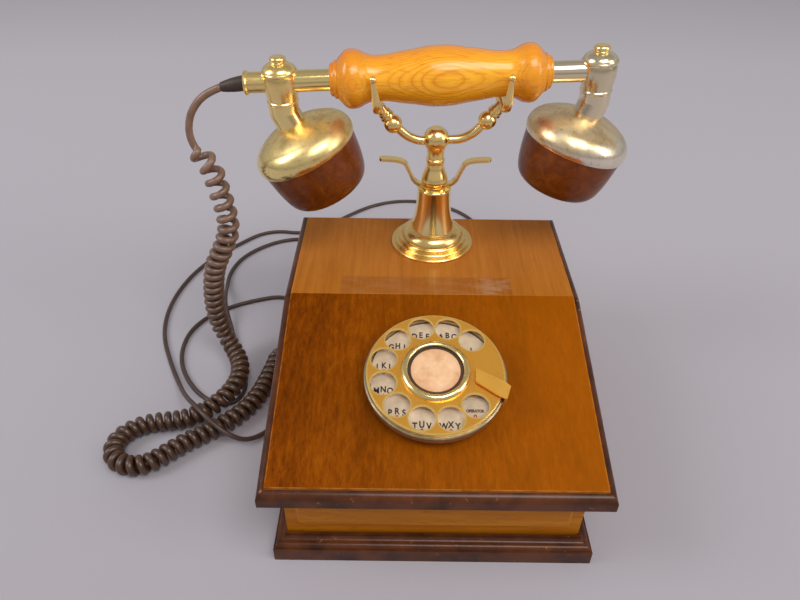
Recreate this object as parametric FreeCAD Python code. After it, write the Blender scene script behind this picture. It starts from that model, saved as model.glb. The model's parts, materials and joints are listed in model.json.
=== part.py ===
"""A wooden desk telephone with a rotary dial and a handset that lies across a brass cradle.

Millimetres, +Z up. The origin is the middle of the plinth's underside. The dial faces -Y, and +X is on the
right of somebody who dials.
"""

import FreeCAD
import Part
import math
import os
from FreeCAD import Placement, Rotation, Vector

# ---- Driving dimensions ------------------------------------------------------------------------------------

# Case
lid_width = 183.4
lid_length = 220.0
lid_thickness = 9.2
lid_front_height = 64.3  # the sloping panel's front edge
front_slope = 14.3  # degrees
crease_y = 15.6  # where the slope meets the flat top
lid_edge = 4.2  # how far the moulded edge stands out from the panels
edge_step = 1.0
veneer = 0.8
wall_setback = 10.7  # from the lid's outline to the walls
wall_thickness = 9.0
field_border = 6.0
field_height = 1.2
plinth_setback = 3.3  # from the lid's outline to the plinth's
plinth_face = 9.8
plinth_height = 16.4
plinth_step = 1.0
plinth_ogee = 2.6
base_plate_thickness = 3.0
base_screw_radius = 1.6
base_screw_head_radius = 3.2
base_screw_head = 1.5
base_screw_length = 11.0

# Dial
dial_up_slope = 61.4  # from the sloping panel's front edge to the dial's centre
wheel_radius = 38.0
wheel_top = 14.0  # above the panel
wheel_thickness = 1.4
finger_holes = 10
finger_hole_radius = 7.1
finger_hole_circle = 29.3
first_hole_angle = 45.0
dial_rim_radius = 39.2
dial_rim_low = 7.0
dial_rim_high = 11.4
dial_body_radius = 33.0
dial_body_depth = 24.0
dial_wall = 1.5
dial_deck_top = 8.0
number_plate_thickness = 0.8
number_plate_bore = 17.0
centre_ring_radius = 19.0
centre_ring_bore = 15.3
centre_ring_height = 2.7
card_radius = 13.5
card_thickness = 0.6
dial_shaft_radius = 3.0
spindle_radius = 1.5
stop_width = 8.4
stop_angle = -20.0
stop_inner = 20.1
stop_thickness = 1.2
gear_module = 0.8
main_teeth = 48
pulse_teeth = 12
governor_teeth = 8
gear_thickness = 2.4
cam_reach = 5.2

# Column and carrying yoke
column_x = 1.5
column_to_rear = 29.8  # from the column's axis to the panels' rear edge
flange_radius = 27.6
flange_steps = 3
flange_step_width = 2.5
flange_step_height = 2.3
flange_edge = 0.5
dome_height = 5.9
column_bottom_radius = 14.2
column_top_radius = 11.1
column_bore = 8.0
column_to_ball = 32.5  # from the column's top to the middle of the post's ball
yoke_thickness = 1.9
yoke_width = 5.0
yoke_reach = 35.6
yoke_foot = 12.2
yoke_knee = 19.2
yoke_rise = 17.8
yoke_disc_radius = 8.8
bush_length = 16.0

# Cradle
cradle_turn = 2.0  # degrees, about the column
cradle_lean = 2.0  # degrees, the right fork stands a little higher
cradle_shift = 0.9  # the forks are a little to the right of the post
plunger_radius = 3.5
plunger_tip_length = 2.0
post_radius = 8.5
post_socket = 8.0
ball_radius = 8.1
ball_flat = 3.7  # the radius of the flat on top of the ball
ball_drop = 39.2  # from the handle's centreline to the middle of the post's ball
arm_radius = 2.8
arm_ball_radius = 5.7
arm_ball_reach = 28.8
arm_ball_drop = 28.2  # from the handle's centreline
fork_reach = 37.2
fork_thickness = 3.2
fork_width = 6.0  # across its foot
fork_prong_width = 3.3  # just under its tip
fork_gap = 1.3  # between the handle's waist and the fork's hollow
fork_depth = 19.0  # from the handle's centreline to the underside of the fork
fork_corner = 9.4
fork_tip_radius = 2.2
fork_tip_rise = 3.4
fork_splay = 5.5  # degrees, the prongs lean outwards
# The left fork stands this much higher on its arm than the middle, and the right one lower.
fork_level = 0.9

# Handset
handset_height = 210.0  # the handle's centreline
handset_shift = -0.5  # from the middle of the forks
handle_offset = 0.5  # from the middle of the end fittings
handle_half_length = 64.5
handle_belly = 17.15
handle_waist = 12.9
handle_waist_at = 36.0
handle_bead = 16.8
handle_bead_at = 51.3
handle_end = 9.4
tube_radius = 6.2
tube_bore = 3.2
tube_insertion = 14.0
fitting_reach = 93.1
fitting_radius = 9.6
fitting_ring_radius = 10.6
fitting_top = 8.7  # above the centreline
fitting_bottom = 12.4  # below it
finial_radius = 4.8
elbow_radius = 9.1
elbow_drop = 18.3  # from the centreline to the bend
elbow_length = 8.8
left_cup_tilt = 23.5  # degrees, the cups face down and inwards
right_cup_tilt = 18.0
bell_radius = 32.5
seam_radius = 31.6
bell_height = 19.4
bell_wall = 1.5
cup_depth = 29.6
cup_mouth_radius = 24.4
cup_wall = 2.2
grille_thickness = 1.6
grille_hole_radius = 1.0
grille_rings = 3
capsule_radius = 18.5
capsule_thickness = 9.0
collar_length = 21.0
collar_radius = 6.0
collar_rim_radius = 7.0
collar_rim = 2.0
relief_radius = 4.4
relief_tip_radius = 2.7
relief_length = 14.0
relief_droop = 8.0

# Ringer, hook switch and electrics
gong_radius = 22.0
gong_height = 13.0
gong_wall = 1.6
gong_gap = 7.0
gong_to_column = 34.0
gong_base = 42.0
gong_post_radius = 3.0
clapper_length = 35.0
clapper_ball_radius = 2.0
clapper_height = 48.0
ringer_deck = 24.0
deck_thickness = 2.0
deck_margin = 7.0
deck_foot = 6.0
armature_half = 16.0
armature_front = 4.0
armature_rear = 6.0
armature_thickness = 3.0
clapper_arm = 1.6
clapper_hub = 3.6
coil_radius = 9.0
coil_height = 14.0
lever_pin_radius = 1.5
lever_arm = 16.0
lever_width = 6.0
lever_drop = 14.4  # from the lid board's underside to the lever's top
board_to_front = 39.3  # from the front wall's outer face
board_width = 70.0
board_depth = 42.0
board_thickness = 1.6
board_lift = 5.0
board_post_radius = 2.5
board_post_inset = 5.0
strip_depth = 10.0
strip_height = 9.0
capacitor_radius = 6.0
capacitor_height = 16.0
induction_depth = 18.0
induction_height = 15.0

# Cords
handset_wire_radius = 2.1
coil_hanging_radius = 7.4
coil_floor_radius = 6.7
line_cord_radius = 1.6
line_coil_radius = 18.0
gland_radius = 5.0
gland_height = 26.0
gland_rim = 2.2
gland_nose = 6.0
handset_gland_to_rear = 21.3  # from the rear wall's outer face
line_gland_x = 26.0
plug_length = 26.0
plug_width = 22.0
plug_height = 12.0
plug_sleeve_length = 14.0
blade_length = 12.0

# Clearances
running_clearance = 0.05
loose_clearance = 0.5
rest_clearance = 0.35
working_gap = 1.0

# ---- Values that follow ------------------------------------------------------------------------------------

slope = math.radians(front_slope)
panel_half_width = lid_width / 2 - lid_edge
panel_front = -lid_length / 2 + lid_edge
panel_rear = lid_length / 2 - lid_edge
lid_top = lid_front_height + (crease_y - panel_front) * math.tan(slope)
wall_x = lid_width / 2 - wall_setback
wall_y = lid_length / 2 - wall_setback
plinth_x = lid_width / 2 - plinth_setback
plinth_y = lid_length / 2 - plinth_setback
wall_foot = base_plate_thickness
dial_y = panel_front + dial_up_slope * math.cos(slope)
dial_z = lid_front_height + dial_up_slope * math.sin(slope)
column_y = panel_rear - column_to_rear
gong_y = column_y - gong_to_column
handset_gland_y = wall_y - handset_gland_to_rear
ball_height = handset_height - ball_drop
column_top = ball_height - column_to_ball
post_foot = column_top + yoke_thickness
fork_hollow = handle_waist + fork_gap
cup_seam = elbow_length + bell_height
lever_top = lid_top - lid_thickness - lever_drop

dial_place = Placement(Vector(0, dial_y, dial_z), Rotation(Vector(1, 0, 0), front_slope))
column_place = Placement(Vector(column_x, column_y, 0), Rotation())
lean = Placement(Vector(cradle_shift, 0, handset_height), Rotation(Vector(0, 1, 0), -cradle_lean))
cradle_place = column_place.multiply(Placement(Vector(), Rotation(Vector(0, 0, 1), cradle_turn)))
fork_place = cradle_place.multiply(lean)
handset_place = fork_place.multiply(Placement(Vector(handset_shift, 0, 0), Rotation()))
handle_place = handset_place.multiply(Placement(Vector(handle_offset, 0, 0), Rotation()))


# ---- Shapes that repeat ------------------------------------------------------------------------------------


def put(shape, place):
    """A copy of the shape, moved to a place."""
    moved = shape.copy()
    moved.Placement = place.multiply(moved.Placement)
    return moved


def box(low, high):
    """A box between two opposite corners."""
    size = [b - a for a, b in zip(low, high)]
    return Part.makeBox(*size, Vector(*low))


def rod(radius, start, end):
    """A round bar from start to end."""
    start, end = Vector(*start), Vector(*end)
    return Part.makeCylinder(radius, (end - start).Length, start, end - start)


def outward(solid):
    """The solid with its faces turned outwards."""
    if solid.Volume < 0:
        solid.reverse()
    return solid


def edges_through(points):
    """Straight edges through the points."""
    return [Part.makeLine(Vector(*a), Vector(*b)) for a, b in zip(points, points[1:])]


def curve_through(points):
    """One smooth edge through the points."""
    curve = Part.BSplineCurve()
    curve.interpolate([Vector(*p) for p in points])
    return curve.toShape()


def plate(points, direction):
    """A flat outline, pushed along a direction."""
    outline = Part.makePolygon([Vector(*p) for p in points + points[:1]])
    return Part.Face(outline).extrude(Vector(*direction))


def turned(*profile):
    """A turned piece about Z. The profile is stretches of (radius, height) points; 'curve' before a stretch
    makes it smooth. The stretches join end to end, and the last one closes on the first."""
    edges, last, first, smooth = [], None, None, False
    for stretch in profile:
        if stretch == "curve":
            smooth = True
            continue
        points = [(r, 0, z) for r, z in stretch]
        if last and last != points[0]:
            edges.append(Part.makeLine(Vector(*last), Vector(*points[0])))
        if smooth:
            edges.append(curve_through(points))
        else:
            edges += edges_through(points)
        first = first or points[0]
        last, smooth = points[-1], False
    if last != first:
        edges.append(Part.makeLine(Vector(*last), Vector(*first)))
    face = Part.Face(Part.Wire(edges))
    solid = face.revolve(Vector(0, 0, 0), Vector(0, 0, 1), 360)
    return Part.Solid(solid.Shells[0]) if solid.ShapeType != "Solid" else solid


def joined(shapes):
    """One solid from shapes that touch or overlap."""
    result = shapes[0]
    for shape in shapes[1:]:
        result = result.fuse(shape)
    return result.removeSplitter()


def around(count, radius, start=0.0):
    """Points on a circle, anticlockwise from the start angle in degrees."""
    for i in range(count):
        angle = math.radians(start + 360.0 * i / count)
        yield radius * math.cos(angle), radius * math.sin(angle)


def inset(points, distance):
    """A convex outline, anticlockwise, with every side moved in."""
    lines = []
    for (ax, ay), (bx, by) in zip(points, points[1:] + points[:1]):
        length = math.hypot(bx - ax, by - ay)
        nx, ny = -(by - ay) / length, (bx - ax) / length
        lines.append((nx, ny, nx * ax + ny * ay + distance))
    result = []
    for (a, b, c), (d, e, f) in zip(lines[-1:] + lines[:-1], lines):
        det = a * e - b * d
        result.append(((c * e - b * f) / det, (a * f - c * d) / det))
    return result


def raised_field(outline, to_space):
    """A board's raised field: its border slopes up to a smaller outline. to_space maps (a, b, height)."""
    foot = inset(outline, field_border)
    top = inset(outline, field_border + 1.4 * field_height)
    wires = []
    for points, height in ((foot, 0.0), (top, field_height)):
        corners = [Vector(*to_space(a, b, height)) for a, b in points]
        wires.append(Part.makePolygon(corners + corners[:1]))
    return Part.makeLoft(wires, True, True)


def cord_route(points):
    """A wire of straight runs joined by tangent arcs, and the smallest arc radius."""
    points = [Vector(*p) for p in points]
    edges, last, smallest = [], points[0], 1e9
    for before, corner, after in zip(points, points[1:], points[2:]):
        into, out = corner - before, after - corner
        cut = 0.45 * min(into.Length, out.Length)
        turn = into.getAngle(out)
        radius = cut / math.tan(turn / 2)
        smallest = min(smallest, radius)
        start = corner - into.normalize() * cut
        end = corner + out.normalize() * cut
        inward = (start + end) * 0.5 - corner
        middle = corner + inward.normalize() * (radius / math.cos(turn / 2) - radius)
        edges.append(Part.makeLine(last, start))
        edges.append(Part.Arc(start, middle, end).toShape())
        last = end
    edges.append(Part.makeLine(last, points[-1]))
    return Part.Wire(edges), smallest


def cord_tube(name, points, radius):
    """A round cord along a route."""
    wire, smallest = cord_route(points)
    start = Vector(*points[0])
    section = Part.Wire(Part.makeCircle(radius, start, Vector(*points[1]) - start))
    tube = outward(Part.Solid(wire.makePipeShell([section], True, False).Shells[0]))
    share = tube.Volume / (math.pi * radius**2 * wire.Length)
    print(f"{name}: {wire.Length:.0f} mm, smallest radius {smallest:.1f} mm, volume share {share:.4f}")
    return tube


def gear(teeth, thickness, turn):
    """A spur gear on Z, from height 0, with a tooth at the turn angle."""
    pitch = math.radians(360.0 / teeth)
    middle = gear_module * teeth / 2
    root, tip = middle - 1.15 * gear_module, middle + 0.75 * gear_module
    points = []
    for i in range(teeth):
        at = math.radians(turn) + i * pitch
        for radius, share in ((root, -0.24), (tip, -0.09), (tip, 0.09), (root, 0.24)):
            angle = at + share * pitch
            points.append((radius * math.cos(angle), radius * math.sin(angle), 0))
    return plate(points, (0, 0, thickness))


# ---- Case --------------------------------------------------------------------------------------------------


def lid_heights(y, depth):
    """The height of a surface that lies a depth below the lid's top, on the slope or on the flat."""
    sloped = lid_top + (y - crease_y) * math.tan(slope) - depth / math.cos(slope)
    return min(sloped, lid_top - depth)


def lid_slab(half_width, front, rear, top, bottom):
    """The lid's shape between two depths below its top surface."""
    crease_top = crease_y + top * math.tan(slope / 2)
    crease_bottom = crease_y + bottom * math.tan(slope / 2)
    side = [(front, top), (crease_top, top), (rear, top), (rear, bottom), (crease_bottom, bottom),
            (front, bottom)]
    points = [(-half_width, y, lid_heights(y, depth)) for y, depth in side]
    return plate(points, (2 * half_width, 0, 0))


def edge_profile(depth):
    """The lid's moulded edge as (outwards, down) edges from the panel's edge to the underside."""
    round_radius = lid_edge - edge_step
    across = round_radius * math.sqrt(0.5)
    corner = edge_step + round_radius
    first = edges_through([(0, 0, 0), (0, -edge_step, 0), (edge_step, -edge_step, 0)])
    middle = (edge_step + across, -corner + across, 0)
    bend = Part.Arc(Vector(edge_step, -edge_step, 0), Vector(*middle),
                    Vector(corner, -corner, 0)).toShape()
    last = edges_through([(corner, -corner, 0), (corner, -depth, 0), (0, -depth, 0), (0, 0, 0)])
    return Part.Face(Part.Wire(first + [bend] + last))


def mitred_frame(half_x, half_y, make_side):
    """Four mitred lengths round a rectangle. make_side(half, length) is one length, along +Y and outwards +X."""
    pieces = []
    reach = lid_width + lid_length
    for angle, half, other in ((0, half_x, half_y), (90, half_y, half_x), (180, half_x, half_y),
                               (270, half_y, half_x)):
        length = make_side(half, reach)
        wedge_corner = half - other
        wedge = [(wedge_corner, 0, -reach), (wedge_corner + reach, -reach, -reach),
                 (wedge_corner + reach, reach, -reach)]
        length = length.common(plate(wedge, (0, 0, 2 * reach)))
        pieces.append(put(length, Placement(Vector(), Rotation(Vector(0, 0, 1), angle))))
    return pieces


def plinth_moulding():
    """The mitred plinth: an upright face, a small step, and an ogee up to the walls."""
    width = plinth_x - wall_x
    across = plinth_ogee * math.sqrt(0.5)
    a = Vector(width - plinth_step, 0, plinth_face)
    b = a + Vector(-plinth_ogee, 0, plinth_ogee)
    c = b + Vector(-plinth_ogee, 0, plinth_ogee)
    bulge = Vector(b.x + across, 0, a.z + across)
    hollow = Vector(b.x - across, 0, c.z - across)
    edges = edges_through([(0, 0, 0), (width, 0, 0), (width, 0, plinth_face), tuple(a)])
    edges.append(Part.Arc(a, bulge, b).toShape())
    edges.append(Part.Arc(b, hollow, c).toShape())
    edges += edges_through([tuple(c), (c.x, 0, plinth_height), (0, 0, plinth_height), (0, 0, 0)])
    face = Part.Face(Part.Wire(edges))

    def side(half, reach):
        start = Placement(Vector(half - width, -reach, 0), Rotation())
        return put(face, start).extrude(Vector(0, 2 * reach, 0))

    return Part.makeCompound(mitred_frame(plinth_x, plinth_y, side))


def lid_moulding():
    """The lid's dark edge in four mitred lengths: two follow the slope and the flat, two close the ends."""
    far = lid_width + lid_length
    crease = Vector(0, crease_y, lid_top)
    bisector = Placement(crease, Rotation(Vector(1, 0, 0), front_slope / 2))
    upright = Rotation(Vector(1, 0, 0), 90)
    runs = []
    for angle, low, high in ((front_slope, -far, 0), (0, 0, far)):
        strip = put(edge_profile(lid_thickness), Placement(Vector(panel_half_width, far, 0), upright))
        run = put(strip.extrude(Vector(0, -2 * far, 0)),
                  Placement(crease, Rotation(Vector(1, 0, 0), angle)))
        keep = put(box((0, low, -far), (lid_width, high, far)), bisector)
        runs.append(run.common(keep))
    ends = []
    for run, end, out in zip(runs, (panel_front, panel_rear), (-1, 1)):
        reach = lid_edge + 1.0
        corners = [(0, 0, 0), (reach, out * reach, 0), (reach, out * reach, lid_length),
                   (0, 0, lid_length)]
        mitre = Part.Face(Part.makePolygon([Vector(*p) for p in corners + corners[:1]]))
        cut = run.common(put(mitre, Placement(Vector(panel_half_width, end, 0), Rotation())))
        wire = cut.Faces[0].OuterWire
        ends.append(outward(Part.makeLoft([wire, wire.mirror(Vector(), Vector(1, 0, 0))], True, True)))
    apex = panel_half_width - panel_rear
    wedge = plate([(apex, 0, 0), (apex + far, -far, 0), (apex + far, far, 0)], (0, 0, far))
    right = joined(runs).common(wedge)
    left = right.mirror(Vector(), Vector(1, 0, 0))
    return Part.makeCompound([right, left] + ends)


def under_lid():
    """Everything below the lid's underside."""
    far = lid_length
    y = crease_y + lid_thickness * math.tan(slope / 2)
    side = [(-far, lid_heights(-far, lid_thickness)), (y, lid_heights(y, lid_thickness))]
    side += [(far, lid_top - lid_thickness), (far, -far), (-far, -far)]
    return plate([(-far, a, b) for a, b in side], (2 * far, 0, 0))


def walls():
    """The four walls. Each outer face has a raised field inside a plain border."""
    below = under_lid()
    inner_y = wall_y - wall_thickness
    field_foot = plinth_height
    result = {}
    for name, sign in (("front_wall", -1), ("rear_wall", 1)):
        outer = wall_y - field_height
        ends = sorted((sign * inner_y, sign * outer))
        board = box((-wall_x, ends[0], wall_foot), (wall_x, ends[1], lid_top)).common(below)
        top = lid_heights(sign * wall_y, lid_thickness)
        outline = [(-wall_x, field_foot), (wall_x, field_foot), (wall_x, top), (-wall_x, top)]
        field = raised_field(outline, lambda a, b, h, s=sign, o=outer: (a, s * (o + h), b))
        result[name] = joined([board, field])
    for name, sign in (("left_wall", -1), ("right_wall", 1)):
        outer = wall_x - field_height
        ends = sorted((sign * (wall_x - wall_thickness), sign * outer))
        board = box((ends[0], -inner_y, wall_foot), (ends[1], inner_y, lid_top)).common(below)
        low, high = lid_heights(-inner_y, lid_thickness), lid_top - lid_thickness
        outline = [(-inner_y, field_foot), (inner_y, field_foot), (inner_y, high), (crease_y, high),
                   (-inner_y, low)]
        field = raised_field(outline, lambda a, b, h, s=sign, o=outer: (s * (o + h), a, b))
        result[name] = joined([board, field])
    return result


def glands():
    """Each cord's gland: (the wall it goes through, its place on the outer face, outward direction)."""
    handset = ("left_wall", Vector(-wall_x, handset_gland_y, gland_height), Vector(-1, 0, 0))
    line = ("rear_wall", Vector(line_gland_x, wall_y, gland_height), Vector(0, 1, 0))
    return handset, line


def gland(at, out):
    """A rubber gland: a plug through the wall with a rim and a nose outside."""
    rim = gland_radius + gland_rim
    nose = [(gland_radius, gland_rim), (gland_radius - 0.8, gland_nose - 1.2),
            (gland_radius - 2.0, gland_nose)]
    body = turned([(0, -wall_thickness), (gland_radius, -wall_thickness), (gland_radius, 0), (rim, 0),
                   (rim, gland_rim)],
                  [(gland_radius, gland_rim)], "curve", nose, [nose[-1], (0, gland_nose)])
    return put(body, Placement(at, Rotation(Vector(0, 0, 1), out)))


def base_screws():
    """Screws that hold the base plate to the walls, with their heads let in flush."""
    screws = []
    y = wall_y - wall_thickness / 2
    for x in (-wall_x * 0.75, wall_x * 0.75):
        for end in (-y, y):
            shank = rod(base_screw_radius, (x, end, 0), (x, end, base_screw_length))
            head = rod(base_screw_head_radius, (x, end, 0), (x, end, base_screw_head))
            screws.append(joined([shank, head]))
    return screws


# ---- Dial, built on the panel with Z out of it ----------------------------------------------------------------


def dial_case():
    """The grey dial housing: a body through the lid, a wider rim, and the deck that carries the works."""
    rim_wall = dial_rim_radius - 2 * dial_wall
    inner = dial_body_radius - dial_wall
    deck_low = dial_deck_top - dial_wall
    case = turned([(inner, -dial_body_depth), (dial_body_radius, -dial_body_depth),
                   (dial_body_radius, dial_rim_low - 1.5),
                   (dial_rim_radius - 0.8, dial_rim_low - 0.6), (dial_rim_radius, dial_rim_low),
                   (dial_rim_radius, dial_rim_high - 0.6),
                   (dial_rim_radius - 0.7, dial_rim_high), (rim_wall, dial_rim_high),
                   (rim_wall, dial_deck_top),
                   (dial_shaft_radius + running_clearance, dial_deck_top),
                   (dial_shaft_radius + running_clearance, deck_low),
                   (inner, deck_low)])
    for x, y in (pulse_centre, governor_centre):
        case = case.cut(rod(spindle_radius + running_clearance, (x, y, deck_low - 1),
                            (x, y, dial_deck_top + 1)))
    return case


def number_plate():
    """The enamelled ring under the finger wheel."""
    outer = dial_rim_radius - 2 * dial_wall - loose_clearance
    low, high = dial_deck_top, dial_deck_top + number_plate_thickness
    return turned([(number_plate_bore, low), (outer, low), (outer, high), (number_plate_bore, high)])


def finger_wheel():
    """The brass wheel: a rolled rim, ten finger holes and a hub."""
    low = wheel_top - wheel_thickness
    lip = 0.5
    wheel = turned([(dial_shaft_radius, low - 2.0), (dial_shaft_radius + 3.5, low - 2.0),
                    (dial_shaft_radius + 3.5, low)],
                   [(wheel_radius - 1.2, low), (wheel_radius - 1.2, low - 0.8), (wheel_radius, low - 0.8),
                    (wheel_radius, wheel_top - lip), (wheel_radius - lip, wheel_top),
                    (dial_shaft_radius, wheel_top)])
    for i in range(finger_holes):
        angle = math.radians(first_hole_angle + 30.0 * i)
        x, y = finger_hole_circle * math.cos(angle), finger_hole_circle * math.sin(angle)
        wheel = wheel.cut(rod(finger_hole_radius, (x, y, low - 1), (x, y, wheel_top + 1)))
    return wheel


def centre_ring():
    """The raised ring that holds the card, with its thin floor."""
    top = wheel_top + centre_ring_height
    middle = (centre_ring_radius + centre_ring_bore) / 2
    return turned([(0, wheel_top), (centre_ring_radius, wheel_top),
                   (centre_ring_radius, wheel_top + 1.0)],
                  "curve", [(centre_ring_radius, wheel_top + 1.0), (middle + 0.6, top - 0.3),
                            (middle - 0.4, top), (centre_ring_bore, top - 0.9)],
                  [(centre_ring_bore, top - 0.9), (centre_ring_bore, wheel_top + 0.6),
                   (0, wheel_top + 0.6)])


def finger_stop():
    """A brass wedge that reaches in over the wheel from a foot on the housing's rim."""
    low = wheel_top + working_gap
    outer = dial_rim_radius + 0.5
    half = stop_width / 2
    edge = [(stop_inner + 2.3, 0.4), (34.6, -3.1), (outer + stop_thickness, -half),
            (outer + stop_thickness, half)]
    edge += [(outer - 2.8, half + 1.8), (stop_inner, half + 4.1)]
    arm = plate([(x, y, low) for x, y in edge], (0, 0, stop_thickness))
    leg = box((outer, -half, dial_rim_low + 1.0), (outer + stop_thickness, half, low + stop_thickness))
    foot = box((dial_rim_radius - 1.0, -half, dial_rim_low + 1.0), (outer, half, dial_rim_high - 1.0))
    rim = rod(dial_rim_radius, (0, 0, 0), (0, 0, wheel_top))
    turn = Placement(Vector(), Rotation(Vector(0, 0, 1), stop_angle))
    return put(joined([arm, leg, foot.cut(rim)]), turn)


gear_top = dial_deck_top - dial_wall - working_gap
pulse_distance = gear_module * (main_teeth + pulse_teeth) / 2
governor_distance = gear_module * (main_teeth + governor_teeth) / 2
pulse_centre = (0.0, pulse_distance)
governor_centre = (0.0, -governor_distance)


def dial_shaft():
    """The shaft from the finger wheel down through the deck, with the main gear and a collar below it."""
    low = gear_top - gear_thickness
    wheel = put(gear(main_teeth, gear_thickness, 90.0), Placement(Vector(0, 0, low), Rotation()))
    shaft = rod(dial_shaft_radius, (0, 0, low - 3.0), (0, 0, wheel_top))
    collar = rod(dial_shaft_radius + 2.0, (0, 0, low - 5.0), (0, 0, low - 3.0))
    return joined([shaft, wheel, collar])


def pulse_cam():
    """A pinion, its spindle through the deck, and the three-lobed cam that opens the contacts."""
    low = gear_top - gear_thickness
    pinion = put(gear(pulse_teeth, gear_thickness, 270.0 + 180.0 / pulse_teeth),
                 Placement(Vector(0, 0, low), Rotation()))
    spindle = rod(spindle_radius, (0, 0, low - 8.0), (0, 0, dial_deck_top - 0.3))
    cam = rod(4.0, (0, 0, low - 6.0), (0, 0, low - 4.0))
    lobes = [rod(1.3, (x, y, low - 6.0), (x, y, low - 4.0)) for x, y in around(3, cam_reach - 1.3, 30.0)]
    return put(joined([pinion, spindle, cam] + lobes), Placement(Vector(*pulse_centre, 0), Rotation()))


def governor():
    """The speed governor: a pinion, its spindle, and two weights on a bar."""
    low = gear_top - gear_thickness
    pinion = put(gear(governor_teeth, gear_thickness, 90.0 + 180.0 / governor_teeth),
                 Placement(Vector(0, 0, low), Rotation()))
    spindle = rod(spindle_radius, (0, 0, low - 12.0), (0, 0, dial_deck_top - 0.3))
    bar = box((-7.0, -1.2, low - 9.0), (7.0, 1.2, low - 7.0))
    weights = [rod(2.6, (x, 0, low - 11.0), (x, 0, low - 6.0)) for x in (-5.6, 5.6)]
    return put(joined([pinion, spindle, bar] + weights),
               Placement(Vector(*governor_centre, 0), Rotation()))


def dial_contacts():
    """Two leaf contacts on an insulating block beside the pulse cam, outside the main gear."""
    low = gear_top - gear_thickness - 7.5
    x = pulse_centre[0] + cam_reach + working_gap
    y = pulse_centre[1] - 5.6
    block = box((x + 2.6, y - 0.4, low - 3.0), (x + 8.6, y + 5.6, low + 7.0))
    leaves = [box((x + gap, y, low), (x + gap + 0.4, y + 11.0, low + 4.0)) for gap in (0.0, 1.2)]
    bridge = box((x, y, low), (x + 2.6, y + 2.0, low + 4.0))
    stay = box((x + 3.0, y, low + 7.0), (x + 8.0, y + 5.0, dial_deck_top - dial_wall))
    return joined([block, bridge, stay] + leaves)


# ---- Column, yoke and cradle ----------------------------------------------------------------------------------


def column_flange():
    """Stepped rings and a dome, turned in one piece."""
    profile = [(column_bore, lid_top)]
    radius, height = flange_radius, lid_top
    for _ in range(flange_steps):
        upper = height + flange_step_height
        profile += [(radius, height), (radius, upper - flange_edge), (radius - flange_edge, upper)]
        height = upper
        radius -= flange_step_width
    radius += flange_edge
    top = height + dome_height
    middle = (radius + column_bottom_radius) / 2
    dome = [(radius, height), (radius - 1.0, height + 0.45 * dome_height),
            (middle, height + 0.82 * dome_height),
            (column_bottom_radius, top)]
    shape = turned(profile + [(radius, height)], "curve", dome,
                   [(column_bottom_radius, top), (column_bore, top)])
    return put(shape, column_place)


def column_tube():
    """The tapering column."""
    low = lid_top + flange_steps * flange_step_height + dome_height
    middle = low + 0.45 * (column_top - low)
    waist = column_top_radius + 0.2 * (column_bottom_radius - column_top_radius)
    rim = column_top - 1.4
    side = [(column_bottom_radius, low), (waist, middle), (column_top_radius, rim)]
    top = [(column_top_radius, rim), (column_top_radius - 0.4, column_top - 0.4),
           (column_top_radius - 1.4, column_top)]
    tube = turned([(column_bore, low), (column_bottom_radius, low)], "curve", side, "curve", top,
                  [top[-1], (column_bore, column_top)])
    return put(tube, column_place)


def carrying_yoke():
    """A curved brass strip with two wings on a disc, held between the column and the bush."""
    half = yoke_width / 2
    t = yoke_thickness
    middle = column_top + t / 2
    wing = [(0, 0, middle), (yoke_foot, 0, middle), (yoke_knee, 0, middle + 0.89 * yoke_rise),
            (yoke_reach - 10.0, 0, middle + 0.98 * yoke_rise), (yoke_reach, 0, middle + yoke_rise)]
    wire, _ = cord_route(wing)
    corners = [(0, -half, column_top), (0, half, column_top), (0, half, column_top + t),
               (0, -half, column_top + t)]
    section = Part.makePolygon([Vector(*p) for p in corners + corners[:1]])
    strip = Part.Solid(wire.makePipeShell([section], True, False).Shells[0])
    tip = rod(half, (yoke_reach - half, 0, column_top), (yoke_reach - half, 0, 2 * column_top))
    wing_shape = outward(strip).common(joined([box((0, -half, 0),
                                                   (yoke_reach - half, half, 2 * column_top)), tip]))
    other = wing_shape.mirror(Vector(), Vector(1, 0, 0))
    disc = rod(yoke_disc_radius, (0, 0, column_top), (0, 0, column_top + t))
    hole = rod(plunger_radius + loose_clearance, (0, 0, column_top - t), (0, 0, column_top + 2 * t))
    yoke = joined([disc, wing_shape, other]).cut(hole)
    return put(yoke, column_place)


def guide_bush():
    """The bush in the column's top, which guides the plunger."""
    low = column_top - bush_length
    bore = plunger_radius + running_clearance
    bush = turned([(bore, low), (column_bore, low), (column_bore, column_top), (bore, column_top)])
    return put(bush, column_place)


def cradle_post():
    """The turned post: a vase, a ring, a neck and a ball with a flat top."""
    r = post_radius
    foot = post_foot + 0.1
    ring = post_foot + 0.5 * (ball_height - post_foot)
    vase = [(r - 1.8, foot), (r - 0.4, foot + 1.2), (r, foot + 2.7), (r - 0.6, foot + 6.0),
            (r - 2.0, foot + 9.6),
            (r - 2.9, ring - 1.4)]
    neck_foot, neck_top = ring + 3.4, ball_height - 5.4
    rise = neck_top - neck_foot
    neck = [(5.5, neck_foot), (5.4, neck_foot + 0.35 * rise), (5.5, neck_foot + 0.65 * rise),
            (6.1, neck_top)]
    rim = [vase[-1], (r - 3.0, ring - 0.7), (r - 2.6, ring), (r - 2.4, ring + 1.0), (r - 2.6, ring + 2.2),
           (r - 3.2, ring + 2.8), neck[0]]
    post = turned([(0, foot), vase[0]], "curve", vase, rim, "curve", neck, [neck[-1], (0, neck_top)])
    ball = Part.makeSphere(ball_radius, Vector(0, 0, ball_height))
    flat = ball_height + math.sqrt(ball_radius**2 - ball_flat**2)
    above = rod(ball_radius, (0, 0, flat), (0, 0, flat + ball_radius))
    socket = rod(plunger_radius, (0, 0, post_foot - 1), (0, 0, post_foot + post_socket))
    return put(joined([post, ball.cut(above)]).cut(socket), cradle_place)


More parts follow.
